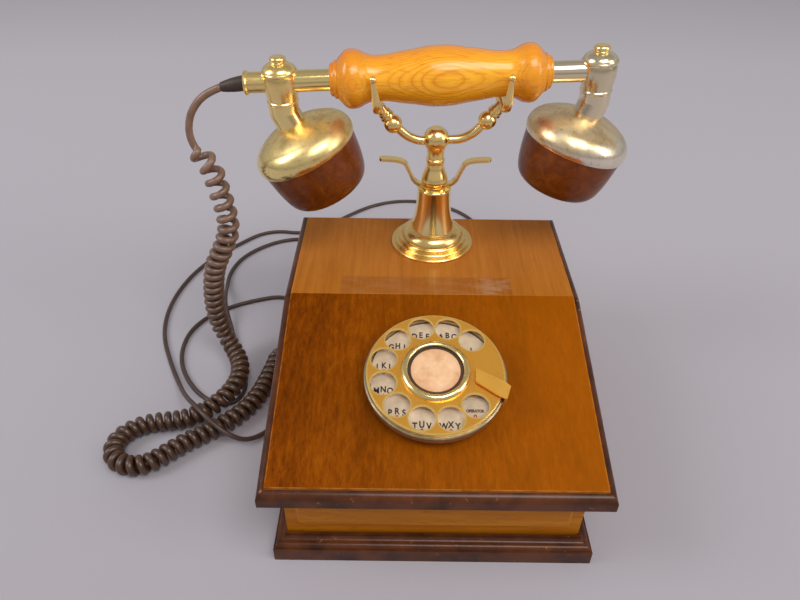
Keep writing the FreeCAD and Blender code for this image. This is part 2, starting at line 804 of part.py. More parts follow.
def cradle_plunger():
    """The rod from the post down through the column to the hook lever."""
    low = lever_top + rest_clearance
    shoulder = low + plunger_tip_length
    tip = rod(plunger_radius - 1.0, (0, 0, low), (0, 0, shoulder))
    return put(joined([tip, rod(plunger_radius, (0, 0, shoulder), (0, 0, post_foot + post_socket))]),
               cradle_place)


def cradle_arm(side):
    """One arm: a curved rod from the post's ball to its own ball and the ringed neck under the fork."""
    root = -ball_drop - 0.8
    ball_at = side * arm_ball_reach
    route = [(0, 0, root), (0.45 * ball_at, 0, root + 0.1), (0.71 * ball_at, 0, root + 3.4),
             (ball_at, 0, -arm_ball_drop)]
    wire, _ = cord_route(route)
    section = Part.Wire(Part.makeCircle(arm_radius, Vector(*route[0]), Vector(side, 0, 0)))
    bar = Part.Solid(wire.makePipeShell([section], True, False).Shells[0])
    centre = Vector(ball_at, 0, -arm_ball_drop)
    foot = Vector(side * fork_reach, 0, -fork_depth + 2.0 - side * fork_level)
    out = (foot - centre).normalize()
    neck = rod(arm_radius + 0.5, tuple(centre), tuple(foot))
    beads = []
    for start, radius in ((arm_ball_radius - 0.3, arm_radius + 1.7),
                          (arm_ball_radius + 1.9, arm_radius + 1.2)):
        beads.append(rod(radius, tuple(centre + out * start), tuple(centre + out * (start + 1.5))))
    arm = joined([bar, Part.makeSphere(arm_ball_radius, centre), neck] + beads)
    hollow = rod(fork_hollow + fork_thickness / 2, (-2 * fork_reach, 0, 0), (2 * fork_reach, 0, 0))
    arm = put(arm.cut(fork_shape(side)).cut(hollow), fork_place)
    ball = put(Part.makeSphere(ball_radius, Vector(0, 0, ball_height)), cradle_place)
    return arm.cut(ball)


def fork_shape(side):
    """A fork under the handle's waist: a round bar bent to a deep U, with small balls on top."""
    middle = fork_hollow + fork_thickness / 2
    bottom = fork_thickness / 2 - fork_depth
    corner = fork_corner - fork_thickness / 2
    bend, flat, slant = bottom + corner, middle - corner, corner * math.sqrt(0.5)
    outline = [(-middle, fork_tip_rise), (-middle, bend), (-flat, bottom)]
    outline += [(-y, z) for y, z in reversed(outline)]
    stops = [Vector(0, y, z) for y, z in outline]
    left = Part.Arc(stops[1], Vector(0, -flat - slant, bend - slant), stops[2]).toShape()
    right = Part.Arc(stops[3], Vector(0, flat + slant, bend - slant), stops[4]).toShape()
    lines = [Part.makeLine(stops[i], stops[i + 1]) for i in (0, 2, 4)]
    path = Part.Wire([lines[0], left, lines[1], right, lines[2]])
    half, up = fork_prong_width / 2, Vector(0, 0, 1)
    ends = [Part.Wire(Part.makeCircle(half, stop, up)) for stop in (stops[0], stops[-1])]
    centre = Vector(0, 0, bottom)
    wide, high = Vector(fork_width / 2, 0, bottom), centre + up * fork_thickness / 2
    foot = Part.Wire(Part.Ellipse(wide, high, centre).toShape())
    bar = Part.Solid(path.makePipeShell([ends[0], foot, ends[1]], True, False).Shells[0])
    tips = [Part.makeSphere(fork_tip_radius, Vector(0, y, fork_tip_rise + 0.4)) for y in (-middle, middle)]
    root = Vector(0, 0, -fork_depth)
    lean = Rotation(Vector(0, 1, 0), side * fork_splay)
    splay = Placement(Vector(side * fork_reach, 0, -side * fork_level), lean, root)
    return put(joined([bar] + tips), splay)


def cradle_forks():
    """Both forks."""
    return [put(fork_shape(side), fork_place) for side in (-1, 1)]


# ---- Handset, built along X about its own centreline ------------------------------------------------------------


def along_x(shape):
    """Turns a piece made about Z so that it lies along +X."""
    return put(shape, Placement(Vector(), Rotation(Vector(0, 1, 0), 90)))


def handle():
    """The turned wooden handle, bored for the tubes and the wires."""
    end, bead_at, waist_at = handle_half_length, handle_bead_at, handle_waist_at
    foot = (handle_end + 2.3, end - 4.8)
    rings = [(tube_radius, end), (handle_end - 0.8, end), (handle_end, end - 0.8),
             (handle_end, end - 1.7),
             (handle_end + 0.3, end - 2.2), (handle_end + 1.2, end - 2.6), (handle_end + 1.5, end - 3.5),
             (handle_end + 1.4, end - 4.3), foot]
    body = [foot, (handle_bead - 2.4, bead_at + 5.9), (handle_bead - 0.75, bead_at + 3.9),
            (handle_bead, bead_at),
            (handle_bead - 1.0, bead_at - 4.4), (handle_waist + 1.2, waist_at + 7.6),
            (handle_waist + 0.2, waist_at + 4.0),
            (handle_waist, waist_at), (handle_waist + 0.5, 29.5), (handle_belly - 2.65, 23.0),
            (handle_belly - 1.55, 14.6), (handle_belly - 0.5, 8.6), (handle_belly, 0.0)]
    body += [(r, -z) for r, z in reversed(body[:-1])]
    far = [(r, -z) for r, z in reversed(rings)]
    wood = turned(rings, "curve", body, far)
    wood = wood.fuse(rod(tube_radius + 0.5, (0, 0, tube_insertion - end), (0, 0, end - tube_insertion)))
    wood = wood.removeSplitter().cut(rod(tube_bore, (0, 0, -end), (0, 0, end)))
    for side in (-1, 1):
        seat = side * (end - tube_insertion)
        wood = wood.cut(rod(tube_radius, (0, 0, seat), (0, 0, side * 2 * end)))
    return put(along_x(wood), handle_place)


def handset_tubes():
    """The two brass tubes between the handle and the end fittings."""
    tubes = []
    for side in (-1, 1):
        start = handle_half_length - tube_insertion + side * handle_offset
        end = fitting_reach - tube_bore
        tube = turned([(tube_bore, start), (tube_radius, start), (tube_radius, end), (tube_bore, end)])
        tubes.append(put(put(tube, Placement(Vector(), Rotation(Vector(0, 1, 0), side * 90))),
                         handset_place))
    return tubes


def end_fitting(side):
    """The upright fitting at one end, cross-bored for the tube, with ringed ends."""
    ring, radius, top, low = fitting_ring_radius, fitting_radius, fitting_top, -fitting_bottom
    bore = finial_radius - 1.2
    foot = [(bore, low), (radius - 0.7, low), (radius - 0.2, low + 0.5), (radius - 0.2, low + 1.5),
            (radius - 0.6, low + 2.0)]
    barrel = [(radius - 0.6, low + 2.0), (radius + 0.3, -5.0), (radius + 0.8, 0.0),
              (radius + 0.4, top - 4.4)]
    rim = [(radius + 0.4, top - 4.4), (ring - 0.4, top - 3.9), (ring, top - 3.4), (ring, top - 2.6),
           (ring - 0.5, top - 2.1)]
    dome = [(ring - 0.5, top - 2.1), (ring - 1.3, top - 0.5), (ring - 3.2, top + 1.1),
            (finial_radius + 0.5, top + 2.0)]
    crown = [(finial_radius + 0.5, top + 2.0), (bore, top + 2.0)]
    body = turned(foot, "curve", barrel, rim, "curve", dome, crown)
    reach = ring + 1.0
    cross = rod(tube_radius, (-side * reach, 0, 0), (0, 0, 0))
    if side < 0:
        cross = cross.fuse(rod(collar_radius, (0, 0, 0), (-reach, 0, 0)))
    body = body.cut(cross)
    return put(body, handset_place.multiply(Placement(Vector(side * fitting_reach, 0, 0), Rotation())))


def finials():
    """The two small turned screws on top of the end fittings."""
    base = fitting_top + 2.0
    shank = finial_radius - 1.2
    made = []
    for side in (-1, 1):
        stem = [(0, fitting_top - 2.0), (shank, fitting_top - 2.0), (shank, base), (finial_radius, base),
                (finial_radius, base + 0.7), (finial_radius - 0.4, base + 1.1)]
        head = [(finial_radius - 0.4, base + 1.1), (finial_radius, base + 2.1), (finial_radius - 0.3, base + 3.2),
                (finial_radius - 1.8, base + 4.0)]
        knob = turned(stem, "curve", head, [(finial_radius - 1.8, base + 4.0), (0, base + 4.1)])
        place = Placement(Vector(side * fitting_reach, 0, 0), Rotation())
        made.append(put(knob, handset_place.multiply(place)))
    return made


def cup_place(side, distance):
    """The place on a cup's own axis at a distance below the elbow's bend, with Z up the axis."""
    tilt = left_cup_tilt if side < 0 else right_cup_tilt
    bend = Placement(Vector(side * fitting_reach, 0, -elbow_drop), Rotation(Vector(0, 1, 0), side * tilt))
    return handset_place.multiply(bend).multiply(Placement(Vector(0, 0, -distance), Rotation()))


def elbows():
    """The two bent necks between the fittings and the bells."""
    made = []
    for side in (-1, 1):
        upper = rod(elbow_radius, (0, 0, -elbow_drop), (0, 0, -fitting_bottom))
        bend = Part.makeSphere(elbow_radius, Vector(0, 0, -elbow_drop))
        lower = rod(elbow_radius, (0, 0, -elbow_length), (0, 0, 0))
        start = Placement(Vector(side * fitting_reach, 0, 0), Rotation())
        neck = [put(s, handset_place.multiply(start)) for s in (upper, bend)] + [put(lower,
                                                                                     cup_place(side, 0))]
        top = put(box((-20, -20, -fitting_bottom), (20, 20, 20)), handset_place.multiply(start))
        made.append(joined(neck).cut(top))
    return made


def bell(side):
    """One brass bell, from its flat crown over a low dome to the full band at the seam."""
    r, h = bell_radius, bell_height
    outer = [(elbow_radius + 3.0, h - 0.2), (r - 14.0, h - 1.9), (r - 6.4, h - 5.6)]
    band = [(r - 6.4, h - 5.6), (r - 2.1, h - 9.2), (r, h - 14.0), (seam_radius, 0.0)]
    t = bell_wall
    inner_band = [(seam_radius - t, 0.0), (r - t, h - 14.2), (r - 3.3, h - 10.0), (r - 7.0, h - 7.1)]
    inner = [(r - 7.0, h - 7.1), (r - 14.4, h - t - 2.0), (elbow_radius + 3.0, h - t - 0.3)]
    shell = turned([(2.0, bell_height), (elbow_radius + 1.0, bell_height), outer[0]], "curve", outer,
                   "curve", band,
                   [band[-1], inner_band[0]], "curve", inner_band, "curve", inner,
                   [inner[-1], (2.0, bell_height - t)])
    return put(shell, cup_place(side, cup_seam))


def cup(side):
    """One brown bowl under a bell, open at the mouth inside a turned-in lip."""
    t = cup_wall
    spigot = seam_radius - bell_wall - 0.1
    low = -cup_depth
    mouth = cup_mouth_radius
    outer = [(seam_radius - 0.3, 0.0), (seam_radius - 1.2, -8.0), (mouth + 3.6, low + 8.0),
             (mouth + 1.6, low + 3.0),
             (mouth - 1.6, low)]
    inner = [(mouth - 1.6, low + t), (mouth - 0.4, low + 3.6), (mouth + 1.4, low + 8.0),
             (seam_radius - 1.2 - t, -8.0), (spigot - t, 0.0)]
    shell = turned([(spigot - t, 3.0), (spigot, 3.0), (spigot, 0.0), outer[0]], "curve", outer,
                   [outer[-1], (cup_mouth_radius - 5.0, low + 0.6), (cup_mouth_radius - 5.0, low + t),
                    inner[0]], "curve", inner,
                   [inner[-1], (spigot - t, 3.0)])
    return put(shell, cup_place(side, cup_seam))


def grille(side):
    """The perforated disc inside a cup's mouth."""
    low = cup_wall - cup_depth
    radius = cup_mouth_radius - 3.0
    disc = rod(radius, (0, 0, low), (0, 0, low + grille_thickness))
    holes = [rod(grille_hole_radius, (0, 0, low - 1), (0, 0, low + grille_thickness + 1))]
    for ring in range(1, grille_rings + 1):
        for x, y in around(6 * ring, ring * radius / (grille_rings + 1.5)):
            holes.append(rod(grille_hole_radius, (x, y, low - 1), (x, y, low + grille_thickness + 1)))
    return put(disc.cut(Part.makeCompound(holes)), cup_place(side, cup_seam))


def capsule(side, ribs):
    """A sound capsule behind a grille: a can with a rim, and ribs where it is a microphone."""
    low = cup_wall - cup_depth + grille_thickness
    high = low + capsule_thickness
    can = turned([(0, low), (capsule_radius, low), (capsule_radius, low + 2.0),
                  (capsule_radius - 2.5, low + 2.6), (capsule_radius - 3.5, high), (0, high)])
    for i in range(ribs):
        groove = turned([(4.0 + 4.0 * i, high - 0.8), (5.0 + 4.0 * i, high - 0.8),
                         (5.0 + 4.0 * i, high + 1), (4.0 + 4.0 * i, high + 1)])
        can = can.cut(groove)
    return put(can, cup_place(side, cup_seam))


def cord_collar():
    """The short tube beyond the left fitting, with a rolled rim."""
    start, end = fitting_reach + tube_bore, fitting_reach + collar_length
    collar = turned([(relief_radius, start), (collar_radius, start),
                     (collar_radius, end - collar_rim - 0.4), (collar_rim_radius - 0.5, end - collar_rim),
                     (collar_rim_radius, end - collar_rim + 0.6), (collar_rim_radius, end - 0.6),
                     (collar_rim_radius - 0.6, end), (relief_radius, end)])
    return put(put(collar, Placement(Vector(), Rotation(Vector(0, 1, 0), -90))), handset_place)


relief_place = handset_place.multiply(
    Placement(Vector(-fitting_reach - collar_length, 0, 0),
              Rotation(Vector(0, 1, 0), -90 - relief_droop)))


def cord_relief():
    """The tapered rubber sleeve in the collar, which droops a little beyond it."""
    start, end = fitting_reach + tube_bore, fitting_reach + collar_length
    inside = put(rod(relief_radius, (-start, 0, 0), (-end, 0, 0)), handset_place)
    sleeve = turned([(0, 0), (relief_radius, 0)], "curve",
                    [(relief_radius, 0), (relief_radius - 0.2, 0.35 * relief_length),
                     (relief_tip_radius, relief_length)],
                    [(relief_tip_radius, relief_length), (0, relief_length)])
    bend = put(Part.makeSphere(relief_radius, Vector()), relief_place)
    return joined([inside, bend, put(sleeve, relief_place)])


# ---- Ringer, hook switch and electrics ---------------------------------------------------------------------------


def gongs():
    """Two gongs side by side, each a shallow cup on a post."""
    made = []
    reach = gong_radius + gong_gap / 2
    top = gong_base + gong_height
    for side in (-1, 1):
        cup_shape = turned([(0, top - gong_wall)], [(gong_radius - 6.0, top - gong_wall),
                                                    (gong_radius - gong_wall, gong_base + 5.0),
                                                    (gong_radius - gong_wall, gong_base),
                           (gong_radius, gong_base), (gong_radius, gong_base + 5.6),
                                                    (gong_radius - 5.4, top), (0, top)])
        made.append(put(cup_shape, Placement(Vector(side * reach, gong_y, 0), Rotation())))
    return made


def ringer_frame():
    """The steel deck with the two gong posts, on four feet, and the clapper's pivot post."""
    reach = gong_radius + gong_gap / 2
    pivot_y = gong_y - clapper_length
    front, rear, edge = pivot_y - deck_margin, gong_y + deck_margin, deck_margin - 1.0
    deck = box((-reach - edge, front, ringer_deck), (reach + edge, rear, ringer_deck + deck_thickness))
    half = deck_foot / 2
    feet = [box((x - half, y, wall_foot), (x + half, y + deck_foot, ringer_deck))
            for x in (-reach, reach) for y in (front, rear - deck_foot)]
    top = gong_base + gong_height - gong_wall
    posts = [rod(gong_post_radius, (side * reach, gong_y, ringer_deck),
                 (side * reach, gong_y, top)) for side in (-1, 1)]
    pivot = rod(lever_pin_radius, (0, pivot_y, ringer_deck), (0, pivot_y, clapper_height + 4.0))
    return joined([deck, pivot] + feet + posts)


def ringer_coils():
    """Two bobbins on the deck, one each side of the clapper's arm."""
    low = ringer_deck + deck_thickness
    top = low + coil_height
    flange, winding, core = 1.2, coil_radius - 1.2, coil_radius / 3
    y = gong_y - clapper_length + armature_rear
    made = []
    for side in (-1, 1):
        bobbin = turned([(0, low), (coil_radius, low), (coil_radius, low + flange),
                         (winding, low + flange),
                         (winding, top - flange), (coil_radius, top - flange), (coil_radius, top),
                         (core, top),
                         (core, top + 1.5), (0, top + 1.5)])
        made.append(put(bobbin, Placement(Vector(side * (coil_radius + 4.0), y, 0), Rotation())))
    return made


def clapper():
    """The armature and its arm, which end in a ball between the gongs."""
    pivot_y = gong_y - clapper_length
    half, arm_half = armature_thickness / 2, clapper_arm / 2
    low, high = clapper_height - half, clapper_height + half
    armature = box((-armature_half, pivot_y - armature_front, low),
                   (armature_half, pivot_y + armature_rear, high))
    hub = rod(clapper_hub, (0, pivot_y, low - 1.0), (0, pivot_y, high + 1.0))
    arm = box((-arm_half, pivot_y, clapper_height - arm_half),
              (arm_half, gong_y, clapper_height + arm_half))
    ball = Part.makeSphere(clapper_ball_radius, Vector(0, gong_y, clapper_height))
    bore = rod(lever_pin_radius + running_clearance, (0, pivot_y, low - 5), (0, pivot_y, high + 5))
    return joined([armature, hub, arm, ball]).cut(bore)


lever_pivot_x = column_x + lever_arm
lever_pivot_z = lever_top - 2.0
lid_underside = lid_top - lid_thickness


def hook_bracket():
    """The bracket under the lid, with the lever's pin between two cheeks."""
    half = lever_width / 2
    cheeks = []
    for side in (-1, 1):
        inner = side * (half + 0.4)
        outer = side * (half + 2.0)
        low, high = sorted((inner, outer))
        cheeks.append(box((lever_pivot_x - 4, column_y + low, lever_pivot_z - 4),
                          (lever_pivot_x + 4, column_y + high, lid_underside)))
    head = box((lever_pivot_x - 4, column_y - half - 2.0, lid_underside - 2.0),
               (lever_pivot_x + 16, column_y + half + 2.0, lid_underside))
    pin = rod(lever_pin_radius, (lever_pivot_x, column_y - half - 2.0, lever_pivot_z),
              (lever_pivot_x, column_y + half + 2.0, lever_pivot_z))
    return joined(cheeks + [head, pin])


def hook_lever():
    """The lever under the plunger: its far end lifts off the spring pile as the cradle rises."""
    half = lever_width / 2
    left = column_x - 3.0
    right = lever_pivot_x + lever_arm + 2.0
    bar = box((left, column_y - half, lever_top - 3.5), (right, column_y + half, lever_top - 0.5))
    pad = rod(2.0, (column_x, column_y, lever_top - 0.6), (column_x, column_y, lever_top))
    hub = rod(3.4, (lever_pivot_x, column_y - half, lever_pivot_z),
              (lever_pivot_x, column_y + half, lever_pivot_z))
    bore = rod(lever_pin_radius + running_clearance, (lever_pivot_x, column_y - 9, lever_pivot_z),
               (lever_pivot_x, column_y + 9, lever_pivot_z))
    return joined([bar, pad, hub]).cut(bore)


def hook_springs():
    """The pile of leaf contacts that the lever works, on a block under the lid."""
    x = lever_pivot_x + lever_arm + 6.0
    half = lever_width / 2
    stem = box((x, column_y - half, lever_top - 20), (x + 8, column_y + half, lid_underside))
    leaves = []
    for i in range(3):
        z = lever_top - 10.5 - 3.0 * i
        leaves.append(box((lever_pivot_x + 4, column_y - half, z), (x, column_y + half, z + 0.5)))
    return joined([stem] + leaves)


def circuit_board():
    """The board on four posts, with its terminal strip, capacitor and induction coil."""
    low = wall_foot + board_lift
    y = board_to_front - wall_y
    top = low + board_thickness
    half = board_width / 2
    pieces = [box((-half, y, low), (half, y + board_depth, top))]
    for x in (board_post_inset - half, half - board_post_inset):
        for at in (y + board_post_inset, y + board_depth - board_post_inset):
            pieces.append(rod(board_post_radius, (x, at, wall_foot), (x, at, low)))
    strip_y = y + board_post_inset
    pieces.append(box((-0.43 * board_width, strip_y, top),
                      (0.09 * board_width, strip_y + strip_depth, top + strip_height)))
    at = (0.2 * board_width, y + 0.7 * board_depth)
    pieces.append(rod(capacitor_radius, (*at, top), (*at, top + capacitor_height)))
    coil_y = y + 0.47 * board_depth
    pieces.append(box((-0.4 * board_width, coil_y, top),
                      (-0.11 * board_width, coil_y + induction_depth, top + induction_height)))
    return joined(pieces)


# ---- Cords ---------------------------------------------------------------------------------------------------------

# The handset's wire, from its sleeve down to where the coil begins.
wire_points = [
    (-136.0, 71.1, 200.0), (-145.3, 70.2, 190.2), (-148.9, 69.4, 180.7), (-149.0, 68.5, 171.2),
    (-145.0, 67.8, 163.2),
]
# The hanging coil's middle line, down to just above the table.
hanging_points = [
    (-145.0, 67.8, 163.2), (-138.4, 66.8, 153.0), (-136.4, 65.7, 140.4), (-133.6, 64.3, 126.0),
    (-133.0, 62.9, 110.8), (-138.7, 61.7, 97.7), (-146.5, 61.4, 84.0), (-150.5, 61.6, 67.0),
    (-152.4, 61.8, 52.0), (-152.2, 61.7, 36.0), (-150.8, 60.9, 30.6),
]
# The coil on the table: over the line cord, out to the left in a loop, and back to the case's left side.
floor_points = [
    (-149.3, 60.0, 24.6), (-145.0, 55.8, 16.6), (-138.2, 46.6, 13.0), (-133.3, 34.2, 12.9),
    (-132.8, 20.8, 12.8), (-137.4, 8.6, 12.2), (-145.4, -1.4, 10.8), (-155.2, -8.2, 9.2),
    (-167.0, -11.2, 7.4), (-180.8, -12.4, 7.0), (-193.5, -17.0, 6.9), (-202.8, -27.6, 6.8),
    (-201.4, -41.0, 6.8), (-190.6, -49.2, 6.8), (-177.4, -47.6, 6.8), (-167.4, -38.6, 6.8),
    (-158.0, -29.4, 6.8), (-147.6, -22.4, 6.8), (-136.5, -14.0, 6.8), (-126.0, -3.0, 6.8),
    (-118.5, 10.5, 6.8), (-114.5, 27.0, 6.8), (-111.5, 43.0, 6.9), (-109.6, 58.0, 7.2),
]
# The handset cord's plain end, up to its gland in the left wall.
tail_points = [
    (-109.6, 58.0, 7.2), (-108.4, 68.0, 10.2), (-102.8, 76.4, 17.8), (-95.0, 79.6, 24.4),
    (-87.0, 78.0, 26.0),
]
# The line cord: out of its gland, round behind the case, down the left, over the coil, back beside the case,
# round again and under the coil, and back to where its spare length is coiled.
line_points = [
    (26.0, 105.3, 26.0), (26.4, 112.0, 25.2), (28.4, 120.0, 19.8), (33.0, 131.0, 9.4),
    (40.0, 146.0, 2.4), (50.0, 169.0, 1.6), (58.6, 200.0, 1.6), (60.0, 233.0, 1.6), (50.0, 263.0, 1.6),
    (30.0, 284.0, 1.6), (4.0, 295.5, 1.6), (-24.0, 297.0, 1.6), (-51.0, 286.0, 1.6),
    (-75.0, 264.0, 1.6), (-96.0, 241.0, 1.6), (-116.0, 231.5, 1.6), (-137.0, 235.6, 1.6),
    (-155.0, 230.0, 1.6), (-172.0, 211.0, 1.6), (-189.0, 191.0, 1.6), (-202.5, 164.0, 1.6),
    (-209.5, 133.0, 1.6), (-209.5, 103.0, 1.6), (-203.0, 76.0, 1.6), (-190.0, 49.0, 1.7),
    (-178.0, 27.0, 3.6), (-166.0, 6.0, 12.6), (-154.6, -9.4, 20.6), (-143.4, -20.2, 19.4),
    (-132.0, -26.4, 13.0), (-120.5, -26.0, 4.6), (-109.0, -17.0, 1.6), (-99.5, -2.0, 1.6),
    (-95.0, 20.0, 1.6), (-94.2, 48.0, 1.6), (-94.6, 78.0, 1.6), (-97.0, 106.0, 1.6),
    (-105.5, 126.0, 1.6), (-121.0, 133.0, 1.6), (-139.0, 127.6, 1.6), (-157.0, 119.6, 1.6),
    (-175.0, 106.0, 1.6), (-185.4, 87.0, 1.6), (-186.4, 66.0, 1.6), (-181.5, 47.0, 1.6),
    (-172.0, 30.5, 1.6), (-160.6, 17.6, 1.6), (-147.6, 9.0, 1.6), (-135.4, 9.8, 1.6),
    (-129.6, 21.0, 1.6), (-131.4, 35.0, 1.6), (-137.8, 52.0, 1.6), (-146.6, 73.0, 1.6),
    (-154.8, 94.0, 3.4), (-161.4, 110.0, 8.2), (-164.6, 124.0, 8.2), (-168.4, 144.0, 2.6),
    (-170.5, 166.0, 1.6), (-165.0, 188.0, 1.6), (-151.0, 206.0, 1.6), (-132.0, 219.0, 1.6),
    (-111.0, 222.6, 1.6), (-92.0, 215.0, 1.6), (-76.0, 202.0, 1.6), (-60.0, 191.4, 1.6),
    (-44.0, 187.0, 1.6),
]
line_coil_centre = (-44.0, 161.0, 0.0)
# Its last stretch, from the coil to the plug.
plug_lead_points = [
    (-18.0, 161.0, 1.6), (-16.6, 151.0, 1.6), (-17.0, 141.0, 1.9), (-20.2, 132.4, 3.0),
    (-27.6, 126.4, 4.6), (-38.0, 124.0, 6.0),
]
plug_x = plug_lead_points[-1][0] - plug_sleeve_length
plug_place = Placement(Vector(plug_x, plug_lead_points[-1][1], 0), Rotation(Vector(0, 0, 1), 180))


def line_coil():
    """The line cord's spare length, wound into a neat ring, four turns wide and two high."""
    half_width = 4 * line_cord_radius
    height = 4 * line_cord_radius
    inner, outer = line_coil_radius - half_width, line_coil_radius + half_width
    ring = turned([(inner, 0), (outer, 0), (outer, height), (inner, height)])
    return put(ring, Placement(Vector(*line_coil_centre), Rotation()))


def line_plug():
    """A plain flat plug with two blades, a tapered sleeve and its short lead from the coil."""
    half, middle = plug_width / 2, plug_height / 2
    body = box((0, -half, 0), (plug_length, half, plug_height))
    sleeve = turned([(0, 0), (4.0, 0), (2.2, plug_sleeve_length), (0, plug_sleeve_length)])
    sleeve = put(sleeve, Placement(Vector(0, 0, middle), Rotation(Vector(0, 1, 0), -90)))
    tip = plug_length + blade_length
    blades = [box((plug_length, y - 0.8, middle - 3.0), (tip, y + 0.8, middle + 3.0)) for y in (-half / 2,
                                                                                                half / 2)]
    return put(joined([body, sleeve] + blades), plug_place)


def build():
    """Every node by name."""
    nodes = dict(walls())
    nodes["plinth_moulding"] = plinth_moulding()
    nodes["lid_moulding"] = lid_moulding()
    board = lid_slab(panel_half_width, panel_front, panel_rear, veneer, lid_thickness)
    skin = lid_slab(panel_half_width, panel_front, panel_rear, 0, veneer)
    dial_hole = put(rod(dial_body_radius + loose_clearance, (0, 0, -dial_body_depth),
                        (0, 0, dial_body_depth)), dial_place)
    plunger_hole = rod(plunger_radius + loose_clearance, (column_x, column_y, 0),
                       (column_x, column_y, 2 * lid_top))
    crease_plane = Placement(Vector(0, crease_y, lid_top), Rotation(Vector(1, 0, 0), front_slope / 2))
    front_side = put(box((-lid_width, -lid_length, -lid_length), (lid_width, 0, lid_length)),
                     crease_plane)
    nodes["lid_board"] = board.cut(dial_hole).cut(plunger_hole)
    nodes["front_panel"] = skin.common(front_side).cut(dial_hole)
    nodes["rear_panel"] = skin.cut(front_side).cut(plunger_hole)
    screws = base_screws()
    plate_low = (-wall_x, -wall_y, 0)
    plate_high = (wall_x, wall_y, wall_foot)
    base_plate = box(plate_low, plate_high)
    for screw in screws:
        base_plate = base_plate.cut(screw)
        for name in ("front_wall", "rear_wall"):
            nodes[name] = nodes[name].cut(screw)
    nodes["base_plate"] = base_plate
    nodes["base_screws"] = Part.makeCompound(screws)
    made = []
    for wall, at, out in glands():
        hole = rod(gland_radius, tuple(at + out), tuple(at - out * (wall_thickness + 1)))
        nodes[wall] = nodes[wall].cut(hole)
        made.append(gland(at, out))
    nodes["cord_glands"] = Part.makeCompound(made)

    for name, shape in (("dial_case", dial_case()), ("number_plate", number_plate()),
                        ("finger_stop", finger_stop()), ("dial_contacts", dial_contacts()),
                        ("finger_wheel", finger_wheel()), ("centre_ring", centre_ring()),
                        ("dial_shaft", dial_shaft()), ("pulse_cam", pulse_cam()),
                        ("governor", governor())):
        nodes[name] = put(shape, dial_place)
    card = rod(card_radius, (0, 0, wheel_top + 0.6), (0, 0, wheel_top + 0.6 + card_thickness))
    nodes["dial_card"] = put(card, dial_place)

    nodes["column_flange"] = column_flange()
    nodes["column_tube"] = column_tube()
    nodes["carrying_yoke"] = carrying_yoke()
    nodes["guide_bush"] = guide_bush()
    nodes["cradle_post"] = cradle_post()
    nodes["cradle_plunger"] = cradle_plunger()
    nodes["left_arm"] = cradle_arm(-1)
    nodes["right_arm"] = cradle_arm(1)
    nodes["cradle_forks"] = Part.makeCompound(cradle_forks())

    nodes["handle"] = handle()
    nodes["handset_tubes"] = Part.makeCompound(handset_tubes())
    nodes["finials"] = Part.makeCompound(finials())
    nodes["elbows"] = Part.makeCompound(elbows())
    for side, name, ribs in ((-1, "left", 0), (1, "right", 3)):
        nodes[name + "_fitting"] = end_fitting(side)
        nodes[name + "_bell"] = bell(side)
        nodes[name + "_cup"] = cup(side)
        nodes[name + "_capsule"] = capsule(side, ribs)
    nodes["cup_grilles"] = Part.makeCompound([grille(side) for side in (-1, 1)])
    nodes["cord_collar"] = cord_collar()
    nodes["cord_relief"] = cord_relief()

    nodes["gongs"] = Part.makeCompound(gongs())
    nodes["ringer_frame"] = ringer_frame()
    nodes["ringer_coils"] = Part.makeCompound(ringer_coils())
    nodes["clapper"] = clapper()
    nodes["hook_bracket"] = hook_bracket()
    nodes["hook_lever"] = hook_lever()
    nodes["hook_springs"] = hook_springs()
    nodes["circuit_board"] = circuit_board()

    relief_end = relief_place.multVec(Vector(0, 0, relief_length))
    wire = cord_tube("handset wire", [tuple(relief_end)] + wire_points, handset_wire_radius)
    hanging = cord_tube("hanging coil", hanging_points, coil_hanging_radius)
    nodes["handset_cord_hanging"] = joined([hanging, wire])
    above, split = (Vector(*p) for p in hanging_points[-2:])
    floor_start = split + (split - above).normalize() * rest_clearance
    floor = cord_tube("floor coil", [tuple(floor_start)] + floor_points, coil_floor_radius)
    tail = cord_tube("plain end", tail_points, handset_wire_radius)
    nodes["handset_cord_floor"] = joined([floor, tail])
    line = cord_tube("line cord", line_points, line_cord_radius)
    lead = cord_tube("plug lead", plug_lead_points, line_cord_radius)
    nodes["line_cord"] = Part.makeCompound([line, lead])
    nodes["line_cord_coil"] = line_coil()
    nodes["line_plug"] = line_plug()
    return nodes


os.makedirs("parts", exist_ok=True)
for node, shape in build().items():
    shape.exportStep(f"parts/{node}.step")
    volume = sum(s.Volume for s in shape.Solids) / 1000
    print(f"{node}: {len(shape.Solids)} solids, {volume:.1f} cm3, valid {shape.isValid()}")
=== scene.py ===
"""The looks of a wooden desk telephone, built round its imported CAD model. Metres, +Z up."""

import json
import math

import bmesh
import bpy
from mathutils import Matrix, Vector


